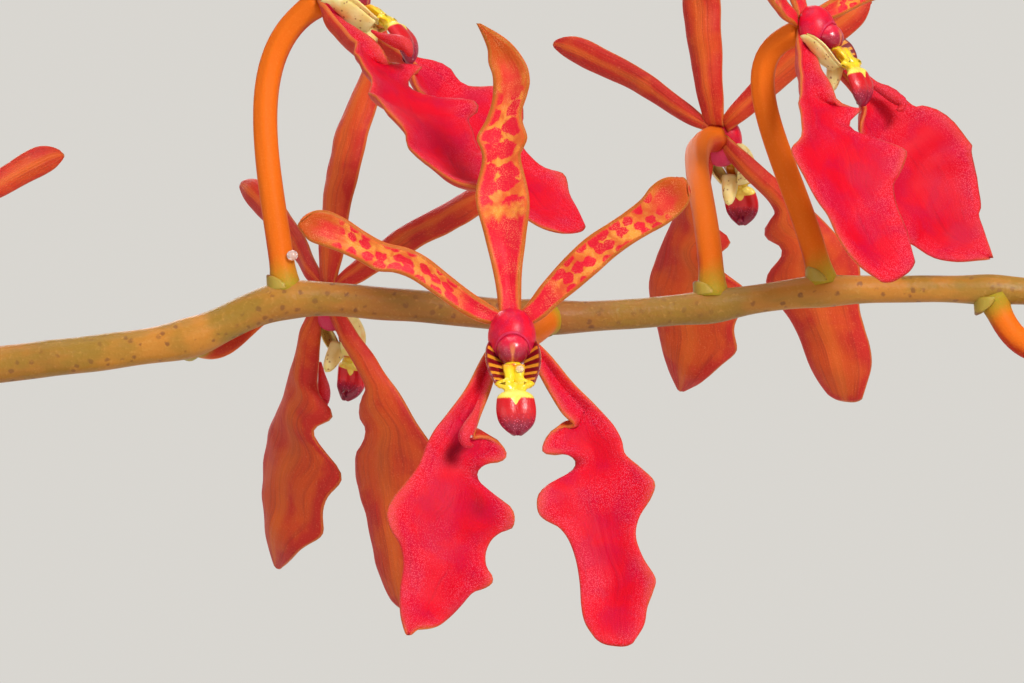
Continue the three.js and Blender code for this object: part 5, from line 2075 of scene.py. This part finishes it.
@dataclass(frozen=True)
class Bark:
    """Fir bark that fills the pot: a packed bed under loose chips."""

    pot: Pot
    top: float = 85.0
    chips: int = 190
    spread: float = 47.0
    length: float = 15.0
    width: float = 10.0
    depth: float = 5.0
    seed: int = 11

    def build(self, finish: Material) -> None:
        """Makes the bed and scatters the chips over it.

        Args:
            finish: The bark's material.
        """
        form = Form()
        rand = random.Random(self.seed)
        self._bed(form)
        for i in range(self.chips):
            self._chip(form, i, rand)
        for face in form.bm.faces:
            face.smooth = False
        bmesh.ops.recalc_face_normals(form.bm, faces=form.bm.faces[:])
        form.piece("bark_chips", ["bark"], [finish])

    def _bed(self, form: Form) -> None:
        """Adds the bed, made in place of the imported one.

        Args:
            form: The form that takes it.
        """
        low = self.pot.floor + 0.35
        depth = self.top - 3.0 - low
        made = bmesh.ops.create_cone(form.bm, cap_ends=True, segments=48, depth=depth,
                                     radius1=self.pot.inside(self.pot.floor) - 0.7,
                                     radius2=self.pot.inside(self.top - 5.0) - 0.7)["verts"]
        bmesh.ops.translate(form.bm, vec=(0.0, 0.0, low + depth / 2.0), verts=made)
        for vert in made:
            vert[form.tone] = 0.1

    def _chip(self, form: Form, i: int, rand: random.Random) -> None:
        """Adds one chip: a rough, cornered slab laid at a slant.

        Args:
            form: The form that takes it.
            i: The chip's number.
            rand: Draws its size, tone, slant and place.
        """
        size = 0.55 + 0.6 * rand.random()
        radius = (self.spread - 6.0 * size) * sqrt((i + 0.5) / self.chips)
        angle = i * TURN * GOLDEN
        if hypot(cos(angle) * radius + 1.0, sin(angle) * radius - 1.0) < 9.0:
            radius = 10.5
        made = bmesh.ops.create_cube(form.bm, size=1.0)["verts"]
        edges = list({e for v in made for e in v.link_edges})
        bmesh.ops.scale(form.bm, vec=(self.length * size, self.width * size, self.depth * size), verts=made)
        bmesh.ops.subdivide_edges(form.bm, edges=edges, cuts=2, use_grid_fill=True)
        verts = [v for v in form.bm.verts if v[form.tone] == 0.0]
        shift = Vector((rand.uniform(0, 50), rand.uniform(0, 50), rand.uniform(0, 50)))
        tone = 0.01 + 0.99 * rand.random()
        for vert in verts:
            vert.co += noise.noise_vector(vert.co * 0.16 + shift) * 2.6 * size
            vert.co += noise.noise_vector(vert.co * 0.5 + shift) * 0.8 * size
            vert[form.tone] = tone
        tilt = Matrix.Rotation(rand.uniform(-0.5, 0.5), 4, "X")
        tilt = tilt @ Matrix.Rotation(rand.uniform(-0.45, 0.45), 4, "Y")
        turn = Matrix.Rotation(rand.uniform(0.0, TURN), 4, "Z")
        lift = self.top - 1.0 + 4.5 * rand.random()
        spot = Matrix.Translation((cos(angle) * radius, sin(angle) * radius, lift))
        bmesh.ops.transform(form.bm, matrix=spot @ turn @ tilt, verts=verts)
        reach = self.pot.rim_radius - self.pot.wall - 0.5
        for vert in verts:
            out = hypot(vert.co.x, vert.co.y)
            limit = reach
            if vert.co.z <= self.pot.waist + 4.0:
                limit = self.pot.inside(min(vert.co.z, self.pot.waist - 2.0)) - 0.5
            if out > limit:
                vert.co.x *= limit / out
                vert.co.y *= limit / out


# Finishes shared by the blooms

@dataclass(frozen=True)
class BloomFinishes:
    """Every material that a bloom needs."""

    sepal: SepalFinish = SepalFinish()
    upright: SpottedFinish = SpottedFinish("upright sepal front", 21.0, 3.4, (0.36, 0.4), (0.4, 0.8),
                                           (1.9, 1.3), 0.72, (0.7, 0.94), 0.22)
    petal: SpottedFinish = SpottedFinish("petal front", 16.5, 2.2, (0.2, 0.32), (0.24, 0.86),
                                         (1.05, 1.1), 0.68, (0.78, 1.0), 0.1)
    back: BackFinish = BackFinish()

    def tepals(self) -> list[Material]:
        """The tepals' materials, in the order of Look."""
        return [self.sepal.material(), self.upright.material(), self.petal.material(), self.back.material()]

    def column(self) -> list[Material]:
        """The hood, the cap and the beak."""
        return [HoodFinish().material(), CapFinish().material(), ThroatFinish().material()]

    def lip(self) -> list[Material]:
        """The side lobes, the throat, the front lobe and the outside."""
        return [SideLobeFinish().material(), ThroatFinish().material(), FrontLobeFinish().material(),
                SpurFinish().material()]


# Stage

@dataclass(frozen=True)
class Lamp:
    """One soft studio light."""

    name: str
    place: Point
    aim: Point
    size: float
    power: float
    colour: tuple[float, float, float] = (1.0, 1.0, 1.0)

    def hang(self) -> None:
        """Hangs the light and turns it to what it lights."""
        data = bpy.data.lights.new(self.name, "AREA")
        data.size = self.size
        data.energy = self.power
        data.color = self.colour
        made = put(self.name, data)
        made.location = self.place
        made.rotation_euler = (Vector(self.aim) - Vector(self.place)).to_track_quat("-Z", "Y").to_euler()


@dataclass(frozen=True)
class Studio:
    """A pale floor that fades into its backdrop, soft light all round, and the camera at the main bloom."""

    floor_size: float = 3.0
    fade: tuple[float, float] = (350.0, 1400.0)
    pale: str = "e9e6e0"
    dim: str = "8f8e8c"
    glow: float = 0.85
    aim: Point = (0.042, -0.017, 0.330)
    distance: float = 0.350
    frame_width: float = 0.0717
    sensor: float = 36.0
    lamps: tuple[Lamp, ...] = field(default_factory=lambda: (
        Lamp("key light", (0.55, -1.0, 1.0), (0.03, 0.0, 0.3), 0.35, 15.0, (1.0, 0.985, 0.96)),
        Lamp("fill light", (-0.95, -0.9, 0.45), (0.03, 0.0, 0.25), 0.8, 2.0, (0.96, 0.98, 1.0)),
        Lamp("back light", (-0.25, 1.1, 0.85), (0.0, 0.0, 0.28), 0.7, 6.0),
        Lamp("top light", (-0.1, 0.0, 1.4), (0.0, 0.0, 0.2), 0.8, 4.0),
    ))

    def build(self) -> None:
        """Sets up floor, sky, lights, camera and the colours' rendering."""
        self._floor()
        self._sky()
        for lamp in self.lamps:
            lamp.hang()
        self._camera()
        bpy.context.scene.view_settings.view_transform = "Standard"

    def _floor(self) -> None:
        """Lays the floor."""
        bm = bmesh.new()
        bmesh.ops.create_circle(bm, cap_ends=True, segments=96, radius=self.floor_size)
        mesh = bpy.data.meshes.new("floor")
        bm.to_mesh(mesh)
        bm.free()
        s = Sketch("pale floor")
        reach = s.add("ShaderNodeVectorMath", {0: s.place}, operation="LENGTH").outputs["Value"]
        far = s.step(reach, self.fade[0], self.fade[1])
        body = s.blend(far, s.blend(s.grain(s.place, 60.0, 3.0), self.pale, "e4e1db"), "000000")
        s.feed(s.shader.inputs["Emission Color"], s.blend(far, "000000", self.pale))
        mesh.materials.append(s.finish(body, 0.8, Emission_Strength=self.glow, Specular_IOR_Level=0.0))
        put("floor", mesh)

    def _sky(self) -> None:
        """Surrounds the scene with plain light, pale at the horizon and dimmer overhead."""
        world = bpy.data.worlds.new("studio")
        world.use_nodes = True
        tree = world.node_tree
        back = tree.nodes["Background"]
        split = tree.nodes.new("ShaderNodeSeparateXYZ")
        tree.links.new(tree.nodes.new("ShaderNodeTexCoord").outputs["Generated"], split.inputs[0])
        ramp = tree.nodes.new("ShaderNodeValToRGB")
        for element, (place, code) in zip(ramp.color_ramp.elements, ((0.12, self.pale), (0.6, self.dim))):
            element.position = place
            element.color = paint(code)
        tree.links.new(split.outputs["Z"], ramp.inputs["Fac"])
        tree.links.new(ramp.outputs["Color"], back.inputs["Color"])
        back.inputs["Strength"].default_value = self.glow
        bpy.context.scene.world = world

    def _camera(self) -> None:
        """Places the camera level with the main bloom, as in the photograph."""
        data = bpy.data.cameras.new("camera")
        data.sensor_width = self.sensor
        data.lens = self.sensor * self.distance / self.frame_width
        data.clip_start = 0.01
        camera = put("camera", data)
        camera.location = (self.aim[0], self.aim[1] - self.distance, self.aim[2])
        camera.rotation_euler = (radians(90.0), 0.0, 0.0)
        bpy.context.scene.camera = camera


def make_blooms() -> None:
    """Makes every bloom: tepals, column, lip, stalk and nectar."""
    finishes = BloomFinishes()
    tepals, column, lip = finishes.tepals(), finishes.column(), finishes.lip()
    stalk, nectar = [StalkFinish().material()], [DropFinish().material()]
    for bloom in BLOOMS:
        bloom.tepals(tepals)
        bloom.column(column)
        bloom.lip(lip)
        bloom.stalk(stalk)
        bloom.nectar(nectar)


def main() -> None:
    """Builds the plant piece by piece, then the studio round it."""
    logging.basicConfig(level=logging.INFO, format="%(name)s: %(message)s")
    pot = Pot()
    pot.build(ClayFinish().material())
    Bark(pot).build(BarkFinish().material())
    LeafyStem().build(LeafFinish().material(), SheathFinish().material())
    Roots().build(RootFinish().material())
    Spray().build([AxisFinish().material(), BractFinish().material()])
    bud_finishes = [AxisFinish().material(), BudFinish().material()]
    for tip in BUD_TIPS:
        tip.build(bud_finishes)
    make_blooms()
    Studio().build()


if __name__ == "__main__":
    main()
